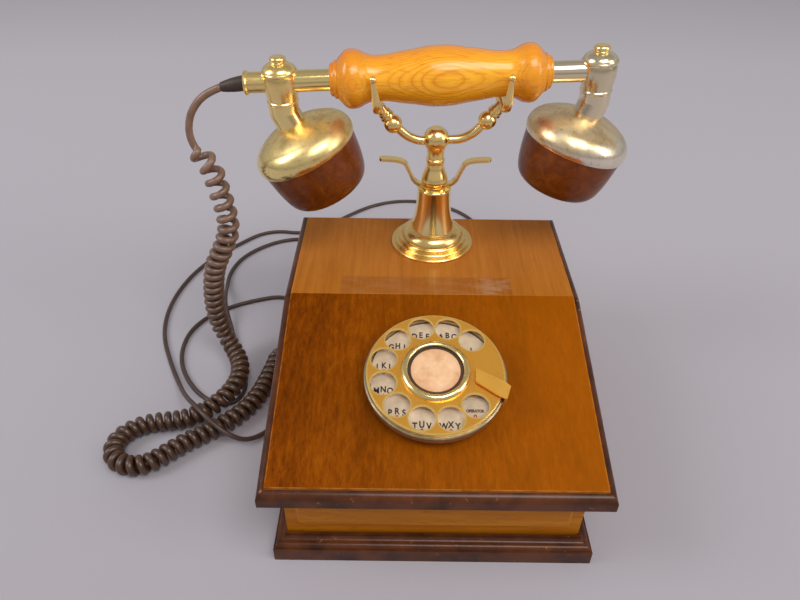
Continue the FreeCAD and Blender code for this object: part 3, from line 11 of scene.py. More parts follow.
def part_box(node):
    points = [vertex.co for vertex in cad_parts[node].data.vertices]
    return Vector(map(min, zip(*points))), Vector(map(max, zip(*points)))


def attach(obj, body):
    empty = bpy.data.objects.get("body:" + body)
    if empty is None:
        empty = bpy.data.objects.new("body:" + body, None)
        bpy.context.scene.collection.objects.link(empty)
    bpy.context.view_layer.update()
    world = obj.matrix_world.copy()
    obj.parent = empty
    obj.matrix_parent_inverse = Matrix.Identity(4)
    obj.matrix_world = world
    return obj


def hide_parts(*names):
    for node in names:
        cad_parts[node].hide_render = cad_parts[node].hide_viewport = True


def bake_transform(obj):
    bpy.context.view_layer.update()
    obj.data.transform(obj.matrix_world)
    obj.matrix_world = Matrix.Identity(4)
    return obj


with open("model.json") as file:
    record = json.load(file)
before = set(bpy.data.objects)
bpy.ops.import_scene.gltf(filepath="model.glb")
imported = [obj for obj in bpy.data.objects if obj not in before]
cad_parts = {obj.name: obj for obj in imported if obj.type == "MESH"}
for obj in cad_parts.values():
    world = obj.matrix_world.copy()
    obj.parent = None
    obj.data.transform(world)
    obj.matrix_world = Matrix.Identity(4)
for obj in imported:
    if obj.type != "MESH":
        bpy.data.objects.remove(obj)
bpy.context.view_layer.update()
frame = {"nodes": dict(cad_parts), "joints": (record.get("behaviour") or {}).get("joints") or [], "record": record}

# ---- Places that the CAD model gives -----------------------------------------------------------------

joints = {joint["name"]: joint for joint in frame["joints"]}
dial_centre = Vector(joints["dial_turn"]["pos_m"])
dial_out = -Vector(joints["dial_turn"]["axis"])
dial_across = Vector((1, 0, 0))
dial_up = dial_out.cross(dial_across)
cradle_turn = math.radians(2.0)

# The dial's sizes, in metres and degrees. Its tops are measured out from the dial's centre.
number_plate_top = 0.0088
wheel_top = 0.0140
wheel_lip_radius = 0.0371
ring_floor_radius = 0.0154
hole_circle = 0.0293
hole_lip_radius = 0.0078
hole_count = 10
first_hole_angle = 45
hole_step = 30


def corners(node):
    """The lowest and the highest corner of a CAD node."""
    return [Vector(corner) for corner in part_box(node)]


def hole_place(hole):
    """The middle of a finger hole: how far across the dial and how far up its slope."""
    angle = math.radians(first_hole_angle + hole_step * hole)
    return hole_circle * math.cos(angle), hole_circle * math.sin(angle)


# ---- Materials ---------------------------------------------------------------------------------------


def colour(red, green, blue):
    """A linear colour from the 0 to 255 values that a screen shows."""
    parts = []
    for value in (red, green, blue):
        value /= 255
        parts.append(value / 12.92 if value <= 0.04045 else ((value + 0.055) / 1.055) ** 2.4)
    return (*parts, 1.0)


def tone_or_grey(value):
    """The linear colour of a tone from 0 to 255, or of a grey from 0 to 1."""
    return colour(*value) if isinstance(value, tuple) else (value, value, value, 1.0)


def fill_ramp(node, stops):
    """Gives a colour ramp its stops, each a position and a linear colour."""
    elements = node.color_ramp.elements
    while len(elements) < len(stops):
        elements.new(0.5)
    for element, (position, shade) in zip(elements, stops):
        element.position = position
        element.color = shade


def along_axis(axis, squeeze):
    """A scale that draws a pattern out along one of the object's axes."""
    return tuple(squeeze if name == axis else 1.0 for name in "XYZ")


class Finish:
    """A material whose nodes are added in code.

    An input takes another node's output or a value. A colour is a tone of three parts from 0 to 255.
    """

    def __init__(self, name, **values):
        self.material = bpy.data.materials.new(name)
        self.material.use_nodes = True
        self.tree = self.material.node_tree
        self.shader = self.tree.nodes["Principled BSDF"]
        self.surface(**values)

    def fill(self, socket, value):
        """Links one input to an output, or gives it a value."""
        if isinstance(value, bpy.types.NodeSocket):
            self.tree.links.new(value, socket)
        else:
            socket.default_value = colour(*value) if socket.type == "RGBA" else value

    def set(self, node, **values):
        """Fills a node's inputs, which are named with underscores for spaces."""
        for name, value in values.items():
            self.fill(node.inputs[name.replace("_", " ")], value)

    def surface(self, **values):
        """Fills inputs of the surface shader."""
        self.set(self.shader, **values)

    def over(self, amount, tone):
        """Lays a tone over the base colour: none of it at 0, nothing but it at 1."""
        base = self.shader.inputs["Base Color"].links[0].from_socket
        self.surface(Base_Color=self.mix(amount, base, tone))

    def add(self, kind, output=0, **values):
        node = self.tree.nodes.new("ShaderNode" + kind)
        self.set(node, **values)
        return node.outputs[output]

    def place(self, scale=(1, 1, 1), shift=(0, 0, 0)):
        """The object's own coordinates, scaled and shifted."""
        own = self.add("TexCoord", "Object")
        return self.add("Mapping", Vector=own, Location=shift, Scale=scale)

    def noise(self, at, scale, detail=4.0, roughness=0.55, distortion=0.0):
        return self.add("TexNoise", "Fac", Vector=at, Scale=scale, Detail=detail, Roughness=roughness,
                        Distortion=distortion)

    def ramp(self, factor, *stops):
        """A colour ramp through stops, each a position and a tone, or a grey from 0 to 1."""
        ramp = self.add("ValToRGB", "Color", Fac=factor)
        fill_ramp(ramp.node, [(position, tone_or_grey(value)) for position, value in stops])
        return ramp

    def mix(self, factor, first, second, blend="MIX"):
        mixed = self.add("MixRGB", "Color", Fac=factor, Color1=first, Color2=second)
        mixed.node.blend_type = blend
        return mixed

    def maths(self, operation, first, second=0.0):
        node = self.tree.nodes.new("ShaderNodeMath")
        node.operation = operation
        for socket, value in zip(node.inputs, (first, second)):
            self.fill(socket, value)
        return node.outputs[0]

    def plus(self, value, other, share):
        """A value with a share of another one added."""
        return self.maths("ADD", value, self.maths("MULTIPLY", other, share))

    def vector(self, operation, at, fixed=(0, 0, 0), output="Vector"):
        """Vector arithmetic with a fixed second vector. Where the result is a number, output is "Value"."""
        node = self.tree.nodes.new("ShaderNodeVectorMath")
        node.operation = operation
        self.set(node, Vector=at)
        node.inputs[1].default_value = fixed
        return node.outputs[output]

    def part(self, at, axis):
        """One coordinate of a vector."""
        return self.add("SeparateXYZ", axis, Vector=at)

    def span(self, value, low, high, first=0.0, last=1.0):
        """Goes from first to last as the value goes from low to high."""
        return self.add("MapRange", Value=value, From_Min=low, From_Max=high, To_Min=first, To_Max=last)

    def within(self, value, low, high, soft):
        """1 where the value lies between low and high, with soft edges."""
        rise = self.span(value, low - soft, low + soft)
        fall = self.span(value, high - soft, high + soft)
        return self.maths("SUBTRACT", rise, fall)

    def bump(self, height, strength, distance):
        normal = self.add("Bump", "Normal", Strength=strength, Distance=distance, Height=height)
        self.surface(Normal=normal)


def wood(name, dark, mid, light, axis, roughness=0.28):
    """Varnished wood with straight grain along one of the object's axes."""
    finish = Finish(name, Roughness=roughness, Specular_IOR_Level=0.15)
    at = finish.place(along_axis(axis, 0.06))
    broad = finish.noise(at, 28.0, detail=3.0, roughness=0.5, distortion=0.6)
    fine = finish.noise(at, 240.0, detail=5.0, roughness=0.65, distortion=0.3)
    figure = finish.plus(finish.maths("MULTIPLY", broad, 0.62), fine, 0.38)
    finish.surface(Base_Color=finish.ramp(figure, (0.36, dark), (0.50, mid), (0.66, light)))
    pores = finish.noise(finish.place(along_axis(axis, 0.14)), 900.0, detail=2.0, roughness=0.5)
    finish.over(finish.ramp(pores, (0.30, 0.35), (0.42, 0.0)), dark)
    finish.bump(fine, strength=0.05, distance=0.0004)
    return finish


def veneer(name, dark, mid, light, coat=0.0):
    """Amber veneer with its grain up the lid: broad soft stripes, fine streaks and short dark pores."""
    finish = Finish(name, Roughness=0.42, Coat_Weight=coat, Coat_Roughness=0.2, Specular_IOR_Level=0.04)
    stripes = finish.noise(finish.place(along_axis("Y", 0.05)), 34.0, detail=3.0, roughness=0.5,
                           distortion=0.4)
    streaks = finish.noise(finish.place(along_axis("Y", 0.035)), 420.0, detail=5.0, roughness=0.7,
                           distortion=0.2)
    patches = finish.noise(finish.place(), 16.0, detail=2.0)
    pores = finish.noise(finish.place(along_axis("Y", 0.10)), 1300.0, detail=2.0, roughness=0.5)
    figure = finish.plus(finish.maths("MULTIPLY", stripes, 0.45), streaks, 0.55)
    finish.surface(Base_Color=finish.ramp(figure, (0.36, dark), (0.50, mid), (0.64, light)))
    finish.over(finish.ramp(patches, (0.35, 0.22), (0.62, 0.0)), dark)
    finish.over(finish.ramp(pores, (0.30, 0.55), (0.40, 0.0)), dark)
    finish.bump(streaks, strength=0.04, distance=0.0003)
    return finish


def pale_edge(finish, low, high, at_front=False, at_back=False):
    """A thin broken line of bare wood where a panel's sides, front or back meet the dark edge."""
    width = 0.0006
    own = finish.place()
    y = finish.part(own, "Y")
    line = finish.maths("GREATER_THAN", finish.maths("ABSOLUTE", finish.part(own, "X")), high.x - width)
    if at_front:
        line = finish.maths("MAXIMUM", line, finish.maths("LESS_THAN", y, low.y + width))
    if at_back:
        line = finish.maths("MAXIMUM", line, finish.maths("GREATER_THAN", y, high.y - width))
    broken = finish.ramp(finish.noise(own, 150.0, detail=3.0), (0.35, 0.05), (0.6, 0.5))
    finish.over(finish.maths("MULTIPLY", line, broken), (188, 120, 48))


def front_veneer():
    """The sloping panel, paler towards its right side."""
    low, high = corners("front_panel")
    finish = veneer("front_veneer", (76, 32, 0), (116, 54, 1), (144, 74, 4))
    rightness = finish.span(finish.part(finish.place(), "X"), low.x, high.x)
    finish.over(finish.maths("MULTIPLY", rightness, 0.6), (166, 90, 5))
    pale_edge(finish, low, high, at_front=True)
    return finish


def rear_veneer():
    """The flat top: the same veneer in paler, greyer tones of painted reflection, with the ghost of a label that
    was once stuck to it.
    """
    label_left, label_right, label_front, label_back = -0.057, 0.050, 0.0165, 0.034
    label_softness = 0.0007
    low, high = corners("rear_panel")
    # Painted reflection: these tones are paler and greyer than the front's, as if the flat top mirrored the bright
    # room.
    finish = veneer("rear_veneer", (152, 88, 24), (168, 102, 33), (179, 114, 42), coat=0.16)
    pale_edge(finish, low, high, at_back=True)
    own = finish.place()
    x = finish.part(own, "X")
    ghost = finish.maths("MULTIPLY", finish.within(x, label_left, label_right, label_softness),
                         finish.within(finish.part(own, "Y"), label_front, label_back, label_softness))
    finish.over(finish.maths("MULTIPLY", ghost, 0.40), (122, 64, 20))
    # Painted glare: whitish streaks on the label's ghost, growing stronger towards its right end.
    streaks = finish.noise(finish.place(along_axis("X", 0.35)), 190.0, detail=4.0, roughness=0.65)
    glare_streaks = finish.ramp(streaks, (0.44, 0.0), (0.60, 1.0))
    glare_fade = finish.span(x, 0.020, 0.044, first=0.10, last=0.55)
    spots = finish.maths("MULTIPLY", finish.maths("MULTIPLY", ghost, glare_streaks), glare_fade)
    finish.over(spots, (176, 140, 110))
    finish.surface(Roughness=finish.plus(0.36, ghost, 0.18))
    return finish


def dark_moulding():
    """Dark red-brown stain under gloss, rubbed through to pale wood in small spots."""
    finish = Finish("dark_moulding", Roughness=0.28, Coat_Weight=0.08, Coat_Roughness=0.14,
                    Specular_IOR_Level=0.25)
    at = finish.place()
    tone = finish.noise(at, 60.0)
    finish.surface(Base_Color=finish.ramp(tone, (0.35, (52, 24, 10)), (0.65, (92, 48, 22))))
    rubbed = finish.noise(at, 260.0, detail=5.0, roughness=0.7)
    finish.over(finish.ramp(rubbed, (0.64, 0.0), (0.70, 0.7)), (176, 120, 72))
    finish.bump(tone, strength=0.06, distance=0.0005)
    return finish


def handle_wood():
    """Honey-orange turned wood. Its nearly flat growth layers show as long loops where it is turned."""
    layers_face = (0.035, -0.984, 0.177)
    layers_per_metre = 830.0
    layer_wobble = 1.7
    loops_shift = Vector((0.0028, 0, 0))
    pale, mid, dark = (255, 186, 44), (246, 164, 30), (206, 112, 12)
    finish = Finish("handle_wood", Roughness=0.26, Coat_Weight=0.45, Coat_Roughness=0.14,
                    Specular_IOR_Level=0.3)
    low, high = corners("handle")
    middle = finish.place(shift=tuple(loops_shift - (low + high) / 2))
    at = finish.add("VectorRotate", Vector=middle, Axis=(0, 0, 1), Angle=-cradle_turn)
    lengthwise = finish.vector("MULTIPLY", at, along_axis("X", 0.3))

    depth = finish.vector("DOT_PRODUCT", at, layers_face, "Value")
    wobble = finish.noise(lengthwise, 42.0, detail=3.0, roughness=0.5)
    layer = finish.maths("FRACT", finish.plus(finish.maths("MULTIPLY", depth, layers_per_metre), wobble,
                                              layer_wobble))
    rings = finish.ramp(layer, (0.0, dark), (0.16, mid), (0.5, pale), (0.86, mid), (1.0, dark))
    even = finish.ramp(finish.noise(lengthwise, 60.0, detail=3.0), (0.35, mid), (0.65, pale))
    reach = finish.maths("ABSOLUTE", finish.part(at, "X"))
    evenness = finish.span(reach, 0.012, 0.030, first=0.40, last=0.66)
    finish.surface(Base_Color=finish.mix(evenness, rings, even))

    finish.over(finish.span(reach, 0.040, 0.050, first=0.0, last=0.5), (218, 122, 20))
    # Painted shade: the sides turned away from the front, and the back, are painted a deeper orange.
    radius = finish.vector("LENGTH", finish.vector("MULTIPLY", at, (0, 1, 1)), output="Value")
    turned_away = finish.maths("DIVIDE", depth, radius)
    finish.over(finish.span(turned_away, 0.15, 0.85, first=0.62, last=0.0), (204, 106, 14))
    stretched = finish.vector("MULTIPLY", at, along_axis("X", 0.05))
    fibre = finish.noise(stretched, 900.0, detail=4.0, roughness=0.6)
    finish.over(finish.ramp(fibre, (0.36, 0.45), (0.48, 0.0)), dark)
    return finish


def brass(name, tone, rough, wear=0.25, worn=(120, 92, 50), pits=0.0):
    """Polished brass with faint smears, darker worn spots and, where asked, pits."""
    finish = Finish(name, Metallic=1.0)
    at = finish.place()
    smear = finish.noise(at, 70.0, detail=3.0)
    spots = finish.noise(at, 330.0, detail=4.0, roughness=0.7)
    finish.surface(Base_Color=finish.mix(finish.ramp(spots, (0.58, 0.0), (0.70, wear)), tone, worn))
    finish.surface(Roughness=finish.span(smear, 0.0, 1.0, first=rough * 0.75, last=rough * 1.5))
    if pits:
        finish.bump(finish.noise(at, 900.0, detail=2.0), strength=pits, distance=0.0002)
    return finish


def half_silver(name, rough):
    """Brass with its plating worn silver-grey on the handset's right side, and still gold on its left."""
    finish = brass(name, (255, 228, 156), rough=rough)
    at = finish.place()
    ragged = finish.plus(finish.part(at, "X"), finish.noise(at, 160.0), 0.006)
    finish.over(finish.ramp(finish.span(ragged, 0.02, 0.08), (0.45, 0.0), (0.6, 0.8)), (236, 222, 198))
    return finish


def bell_brass(node, band_tone, crown_tone, patch_tone):
    """A bell with a polished band, and a duller crown that is worn in patches."""
    finish = Finish(node + "_brass", Metallic=1.0)
    low, high = corners(node)
    at = finish.place()
    rise = finish.span(finish.part(at, "Z"), low.z, high.z)
    ragged = finish.plus(rise, finish.noise(at, 90.0, detail=5.0, roughness=0.65), 0.5)
    crown = finish.ramp(ragged, (0.70, 0.0), (0.92, 1.0))
    patches = finish.ramp(finish.noise(at, 75.0, detail=5.0, roughness=0.65), (0.44, 0.0), (0.62, 0.55))
    specks = finish.ramp(finish.noise(at, 420.0, detail=4.0, roughness=0.75), (0.56, 0.0), (0.68, 0.5))
    finish.surface(Base_Color=finish.mix(crown, band_tone, finish.mix(patches, crown_tone, patch_tone)))
    finish.over(specks, (150, 114, 62))
    patchy = finish.plus(rise, finish.noise(at, 120.0), 0.8)
    finish.surface(Roughness=finish.span(patchy, 0.5, 1.3, first=0.15, last=0.40))
    finish.bump(finish.noise(at, 800.0, detail=3.0), strength=0.10, distance=0.0002)
    return finish


def cup_plastic():
    """Dark red-brown plastic with a soft mottle."""
    finish = Finish("cup_plastic", Roughness=0.26, Specular_IOR_Level=0.28)
    mottle = finish.noise(finish.place(), 150.0, detail=4.0, roughness=0.6, distortion=0.8)
    finish.surface(Base_Color=finish.ramp(mottle, (0.30, (94, 42, 7)), (0.5, (108, 51, 10)),
                                          (0.74, (128, 66, 17))))
    return finish


def plain(name, tone, roughness=0.5, metallic=0.0, mottle=0.12):
    """A plain surface with a slight variation of tone and a fine bump."""
    finish = Finish(name, Roughness=roughness, Metallic=metallic)
    spread = finish.noise(finish.place(), 200.0)
    dark = tuple(value * (1 - mottle) for value in tone)
    light = tuple(min(255, value * (1 + mottle)) for value in tone)
    finish.surface(Base_Color=finish.ramp(spread, (0.3, dark), (0.7, light)))
    finish.bump(spread, strength=0.04, distance=0.0003)
    return finish


def from_dial_axis(finish):
    """How far a point lies from the dial's axis."""
    own = finish.place(shift=tuple(-dial_centre))
    out = finish.vector("DOT_PRODUCT", own, dial_out, "Value")
    reach = finish.vector("LENGTH", own, output="Value")
    across = finish.maths("SUBTRACT", finish.maths("POWER", reach, 2.0), finish.maths("POWER", out, 2.0))
    return finish.maths("SQRT", finish.maths("MAXIMUM", across, 0.0))


def ring_brass():
    """The dial's centre ring: brass outside, and dark brown and not metallic on the floor round the card."""
    finish = brass("ring_brass", (250, 222, 152), rough=0.18)
    inside = finish.maths("LESS_THAN", from_dial_axis(finish), ring_floor_radius)
    finish.over(inside, (84, 62, 44))
    finish.surface(Metallic=finish.maths("SUBTRACT", 1.0, inside))
    return finish


def wheel_brass():
    """The finger wheel: deep gold, with painted highlights on the lips round its holes and on its rim."""
    finish = brass("wheel_brass", (252, 182, 72), rough=0.24, wear=0.12, worn=(196, 128, 52))
    finish.surface(Metallic=0.82)
    own = finish.place(shift=tuple(-dial_centre))
    lip_highlight = finish.maths("GREATER_THAN", from_dial_axis(finish), wheel_lip_radius)
    for hole in range(hole_count):
        across, up = hole_place(hole)
        centre = dial_across * across + dial_up * up + dial_out * wheel_top
        gap = finish.vector("DISTANCE", own, centre, "Value")
        lip_highlight = finish.maths("MAXIMUM", lip_highlight, finish.maths("LESS_THAN", gap, hole_lip_radius))
    # Painted highlight: the lips and the rim are given a pale gold in place of their shine.
    finish.over(finish.maths("MULTIPLY", lip_highlight, 0.7), (254, 226, 140))
    return finish


def stop_brass():
    """The finger stop: the wheel's gold, with a duller polish."""
    finish = brass("stop_brass", (246, 184, 78), rough=0.34, wear=0.2, worn=(180, 124, 50))
    finish.surface(Metallic=0.75)
    return finish


def card_paper():
    """The yellowed card: pale in the middle, with pink and tan blotches, and browner towards its edge."""
    finish = Finish("card_paper", Roughness=0.5, Coat_Weight=0.3, Coat_Roughness=0.1)
    blotch = finish.noise(finish.place(), 130.0, detail=4.0, roughness=0.6)
    finish.surface(Base_Color=finish.ramp(blotch, (0.36, (214, 162, 120)), (0.5, (228, 182, 138)),
                                          (0.66, (238, 198, 158))))
    edge = finish.span(from_dial_axis(finish), 0.0095, 0.0135)
    finish.over(finish.maths("MULTIPLY", edge, 0.5), (204, 150, 104))
    return finish


def cord_rubber(name, low_tone, high_tone, roughness):
    """Flexible cord with a soft sheen, whose tone can change from painted shade at the table up to the handset."""
    finish = Finish(name, Roughness=roughness, Coat_Weight=0.25, Coat_Roughness=0.25)
    at = finish.place()
    # Painted shade: the low tone near the table stands in for the shadow where the cord lies low.
    tone = finish.mix(finish.span(finish.part(at, "Z"), 0.01, 0.13), low_tone, high_tone)
    mottle = finish.ramp(finish.noise(at, 160.0, detail=3.0), (0.3, 0.7), (0.7, 1.0))
    finish.surface(Base_Color=finish.mix(1.0, tone, mottle, "MULTIPLY"))
    return finish


looks = {
    "wall_wood": wood("wall_wood", (126, 66, 5), (166, 96, 13), (192, 120, 23), axis="X"),
    "dark_wood": dark_moulding(),
    "inner_wood": wood("inner_wood", (140, 104, 66), (170, 132, 88), (190, 152, 106), axis="Y",
                       roughness=0.6),
    "handle_wood": handle_wood(),
    "brass": brass("polished_brass", (255, 224, 148), rough=0.22),
    "worn_brass": brass("worn_brass", (244, 208, 134), rough=0.24, wear=0.4, pits=0.10),
    "nickel_brass": brass("nickel_brass", (232, 218, 184), rough=0.2, wear=0.5, worn=(176, 140, 78)),
    "brown_cup": cup_plastic(),
    "dial_grey": plain("dial_grey", (168, 152, 124), roughness=0.32, metallic=0.85),
    "number_plate": plain("number_plate", (206, 186, 160), roughness=0.35, mottle=0.06),
    "card": card_paper(),
    "steel": plain("steel", (150, 150, 152), roughness=0.3, metallic=1.0),
    "gong_metal": plain("gong_metal", (200, 200, 200), roughness=0.12, metallic=1.0, mottle=0.04),
    "coil_winding": plain("coil_winding", (128, 52, 26), roughness=0.4),
    "board": plain("board", (110, 74, 36), roughness=0.6),
    "insulator": plain("insulator", (44, 36, 32)),
    "rubber": plain("rubber", (58, 42, 34)),
    # The curly cord's low tone is painted shade where it lies on the table.
    "curly_cord": cord_rubber("curly_cord", (78, 52, 36), (134, 102, 83), roughness=0.36),
    "line_cord": cord_rubber("line_cord", (74, 52, 43), (74, 52, 43), roughness=0.5),
}
own_looks = {
    "front_panel": front_veneer(),
    "rear_panel": rear_veneer(),
    "left_bell": bell_brass("left_bell", band_tone=(255, 230, 156), crown_tone=(252, 224, 154),
                            patch_tone=(204, 164, 98)),
    "right_bell": bell_brass("right_bell", band_tone=(246, 234, 212), crown_tone=(240, 218, 176),
                             patch_tone=(208, 168, 106)),
    "centre_ring": ring_brass(),
    "column_tube": brass("column_brass", (255, 232, 160), rough=0.12),
    "finger_wheel": wheel_brass(),
    "finger_stop": stop_brass(),
    "handset_tubes": half_silver("tube_brass", rough=0.14),
    "elbows": half_silver("elbow_brass", rough=0.16),
}


def dress(thing, finish):
    """Gives an object one material."""
    thing.data.materials.clear()
    thing.data.materials.append(finish.material)


def dress_frame():
    """Gives each CAD node its own finish, or that of its slot."""
    for part in frame["record"]["subparts"]:
        node = part["node"]
        dress(frame["nodes"][node], own_looks.get(node) or looks[part["material_slot"]])


# ---- Pieces ------------------------------------------------------------------------------------------


def add_piece(name, data, finish, body=None):
    """Adds an object with its material, and lets it ride on a body where one is given."""
    piece = bpy.data.objects.new(name, data)
    bpy.context.scene.collection.objects.link(piece)
    dress(piece, finish)
    if body:
        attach(piece, body)
    return piece


def nurbs(name, points):
    """An open NURBS curve of order 3 that starts and ends at its end points."""
    curve = bpy.data.curves.new(name, "CURVE")
    curve.dimensions = "3D"
    curve.resolution_u = 12
    spline = curve.splines.new("NURBS")
    spline.points.add(len(points) - 1)
    for point, place in zip(spline.points, points):
        point.co = (*place, 1.0)
    spline.order_u = 3
    spline.use_endpoint_u = True
    return curve


def metres(points):
    """Millimetre points as metre vectors."""
    return [Vector(point) / 1000 for point in points]


def follow(points):
    """Points read from the NURBS spline through a route's control points."""
    guide = bpy.data.objects.new("guide", nurbs("guide", points))
    mesh = bpy.data.meshes.new_from_object(guide)
    line = [vertex.co.copy() for vertex in mesh.vertices]
    bpy.data.objects.remove(guide)
    bpy.data.meshes.remove(mesh)
    return line


def length_of(points):
    """The length of a line through points."""
    return sum((b - a).length for a, b in zip(points, points[1:]))


def square_to(normal, along):
    """The part of a direction that is square to another one."""
    return (normal - along * normal.dot(along)).normalized()


def tube_mesh(name, path, radius):
    """A closed round tube along a path."""
    sides = 10
    angles = [2 * math.pi * step / sides for step in range(sides)]
    tube = bmesh.new()
    rings = []
    normal = (path[1] - path[0]).orthogonal().normalized()
    for index, centre in enumerate(path):
        along = (path[min(index + 1, len(path) - 1)] - path[max(index - 1, 0)]).normalized()
        normal = square_to(normal, along)
        side = along.cross(normal)
        rings.append([tube.verts.new(centre + radius * (math.cos(angle) * normal + math.sin(angle) * side))
                      for angle in angles])
    for lower, upper in zip(rings, rings[1:]):
        for i in range(sides):
            tube.faces.new((lower[i], lower[(i + 1) % sides], upper[(i + 1) % sides], upper[i]))
    tube.faces.new(reversed(rings[0]))
    tube.faces.new(rings[-1])
    for face in tube.faces:
        face.smooth = True
    data = bpy.data.meshes.new(name)
    tube.to_mesh(data)
    tube.free()
    return data


# ---- Cord routes, in millimetres ---------------------------------------------------------------------

relief_end = (-125.84, 71.55, 203.57)
wire_points = [
    relief_end, (-136.0, 71.1, 200.0), (-145.3, 70.2, 190.2), (-148.9, 69.4, 180.7), (-149.0, 68.5, 171.2),
    (-145.0, 67.8, 163.2),
]
hanging_points = [
    (-138.4, 66.8, 153.0), (-136.4, 65.7, 140.4), (-133.6, 64.3, 126.0), (-133.0, 62.9, 110.8),
    (-138.7, 61.7, 97.7), (-146.5, 61.4, 84.0), (-150.5, 61.6, 67.0), (-152.4, 61.8, 52.0),
    (-152.2, 61.7, 36.0),
]
floor_points = [
    (-149.3, 60.0, 24.6), (-145.0, 55.8, 16.6), (-138.2, 46.6, 13.0), (-133.3, 34.2, 12.9),
    (-132.8, 20.8, 12.8), (-137.4, 8.6, 12.2), (-145.4, -1.4, 10.8), (-155.2, -8.2, 9.2),
    (-167.0, -11.2, 7.4), (-180.8, -12.4, 7.0), (-193.5, -17.0, 6.9), (-202.8, -27.6, 6.8),
    (-201.4, -41.0, 6.8), (-190.6, -49.2, 6.8), (-177.4, -47.6, 6.8), (-167.4, -38.6, 6.8),
    (-158.0, -29.4, 6.8), (-147.6, -22.4, 6.8), (-136.5, -14.0, 6.8), (-126.0, -3.0, 6.8),
    (-118.5, 10.5, 6.8), (-114.5, 27.0, 6.8), (-111.5, 43.0, 6.9), (-109.6, 58.0, 7.2),
]
tail_points = [
    (-108.4, 68.0, 10.2), (-102.8, 76.4, 17.8), (-95.0, 79.6, 24.4), (-87.0, 78.0, 26.0),
]
line_points = [
    (26.0, 105.3, 26.0), (26.4, 112.0, 25.2), (28.4, 120.0, 19.8), (33.0, 131.0, 9.4), (40.0, 146.0, 2.4),
    (50.0, 169.0, 1.6), (58.6, 200.0, 1.6), (60.0, 233.0, 1.6), (50.0, 263.0, 1.6), (30.0, 284.0, 1.6),
    (4.0, 295.5, 1.6), (-24.0, 297.0, 1.6), (-51.0, 286.0, 1.6), (-75.0, 264.0, 1.6), (-96.0, 241.0, 1.6),
    (-116.0, 231.5, 1.6), (-137.0, 235.6, 1.6), (-155.0, 230.0, 1.6), (-172.0, 211.0, 1.6),
    (-189.0, 191.0, 1.6), (-202.5, 164.0, 1.6), (-209.5, 133.0, 1.6), (-209.5, 103.0, 1.6),
    (-203.0, 76.0, 1.6), (-190.0, 49.0, 1.7), (-178.0, 27.0, 3.6), (-166.0, 6.0, 12.6),
    (-154.6, -9.4, 20.6), (-143.4, -20.2, 19.4), (-132.0, -26.4, 13.0), (-120.5, -26.0, 4.6),
    (-109.0, -17.0, 1.6), (-99.5, -2.0, 1.6), (-95.0, 20.0, 1.6), (-94.2, 48.0, 1.6), (-94.6, 78.0, 1.6),
    (-97.0, 106.0, 1.6), (-105.5, 126.0, 1.6), (-121.0, 133.0, 1.6), (-139.0, 127.6, 1.6),
    (-157.0, 119.6, 1.6), (-175.0, 106.0, 1.6), (-185.4, 87.0, 1.6), (-186.4, 66.0, 1.6),
    (-181.5, 47.0, 1.6), (-172.0, 30.5, 1.6), (-160.6, 17.6, 1.6), (-147.6, 9.0, 1.6), (-135.4, 9.8, 1.6),
    (-129.6, 21.0, 1.6), (-131.4, 35.0, 1.6), (-137.8, 52.0, 1.6), (-146.6, 73.0, 1.6), (-154.8, 94.0, 3.4),
    (-161.4, 110.0, 8.2), (-164.6, 124.0, 8.2), (-168.4, 144.0, 2.6), (-170.5, 166.0, 1.6),
    (-165.0, 188.0, 1.6), (-151.0, 206.0, 1.6), (-132.0, 219.0, 1.6), (-111.0, 222.6, 1.6),
    (-92.0, 215.0, 1.6), (-76.0, 202.0, 1.6), (-60.0, 191.4, 1.6), (-44.0, 187.0, 1.6),
]
line_coil_centre = Vector((-44.0, 161.0, 0.0))
plug_lead_points = [
    (-18.0, 161.0, 1.6), (-16.6, 151.0, 1.6), (-17.0, 141.0, 1.9), (-20.2, 132.4, 3.0), (-27.6, 126.4, 4.6),
    (-38.0, 124.0, 6.0),
]


# ---- Cords -------------------------------------------------------------------------------------------

line_radius = 0.0016
wire_radius = 0.0023

# The line cord's put-away coil, in millimetres. In the last share of a turn, coil_crossing, the cord moves
# over to the next turn. A lead-out point is an angle, how far outside the last turn and how far above it.
coil_turn_radius = 18.0
coil_turns_per_layer = 4
coil_points_per_turn = 16
coil_crossing = 0.3
coil_lead_in_points = 4
coil_lead_in_reach = 2.4
coil_lead_out = ((90, 0.0, 0.0), (67, 0.6, 0.0), (45, 2.4, -1.0), (22, 3.2, -2.4))

# The curly cord's coil, in metres. Its pitch closes up over the first stretch, curl_pitch_change.
curl_radius_hanging = 0.0074
curl_radius_floor = 0.0067
curl_pitch_start = 0.0104
curl_pitch_end = 0.0058
curl_pitch_change = 0.09
curl_taper = 0.006
curl_start_overlap = 0.004
curl_end_gap = 0.010
curl_step_angle = 18
straight_step = 0.002


def coil_point(degrees, radius, height):
    """A point of the put-away coil, in millimetres."""
    angle = math.radians(degrees)
    return line_coil_centre + Vector((radius * math.cos(angle), radius * math.sin(angle), height))


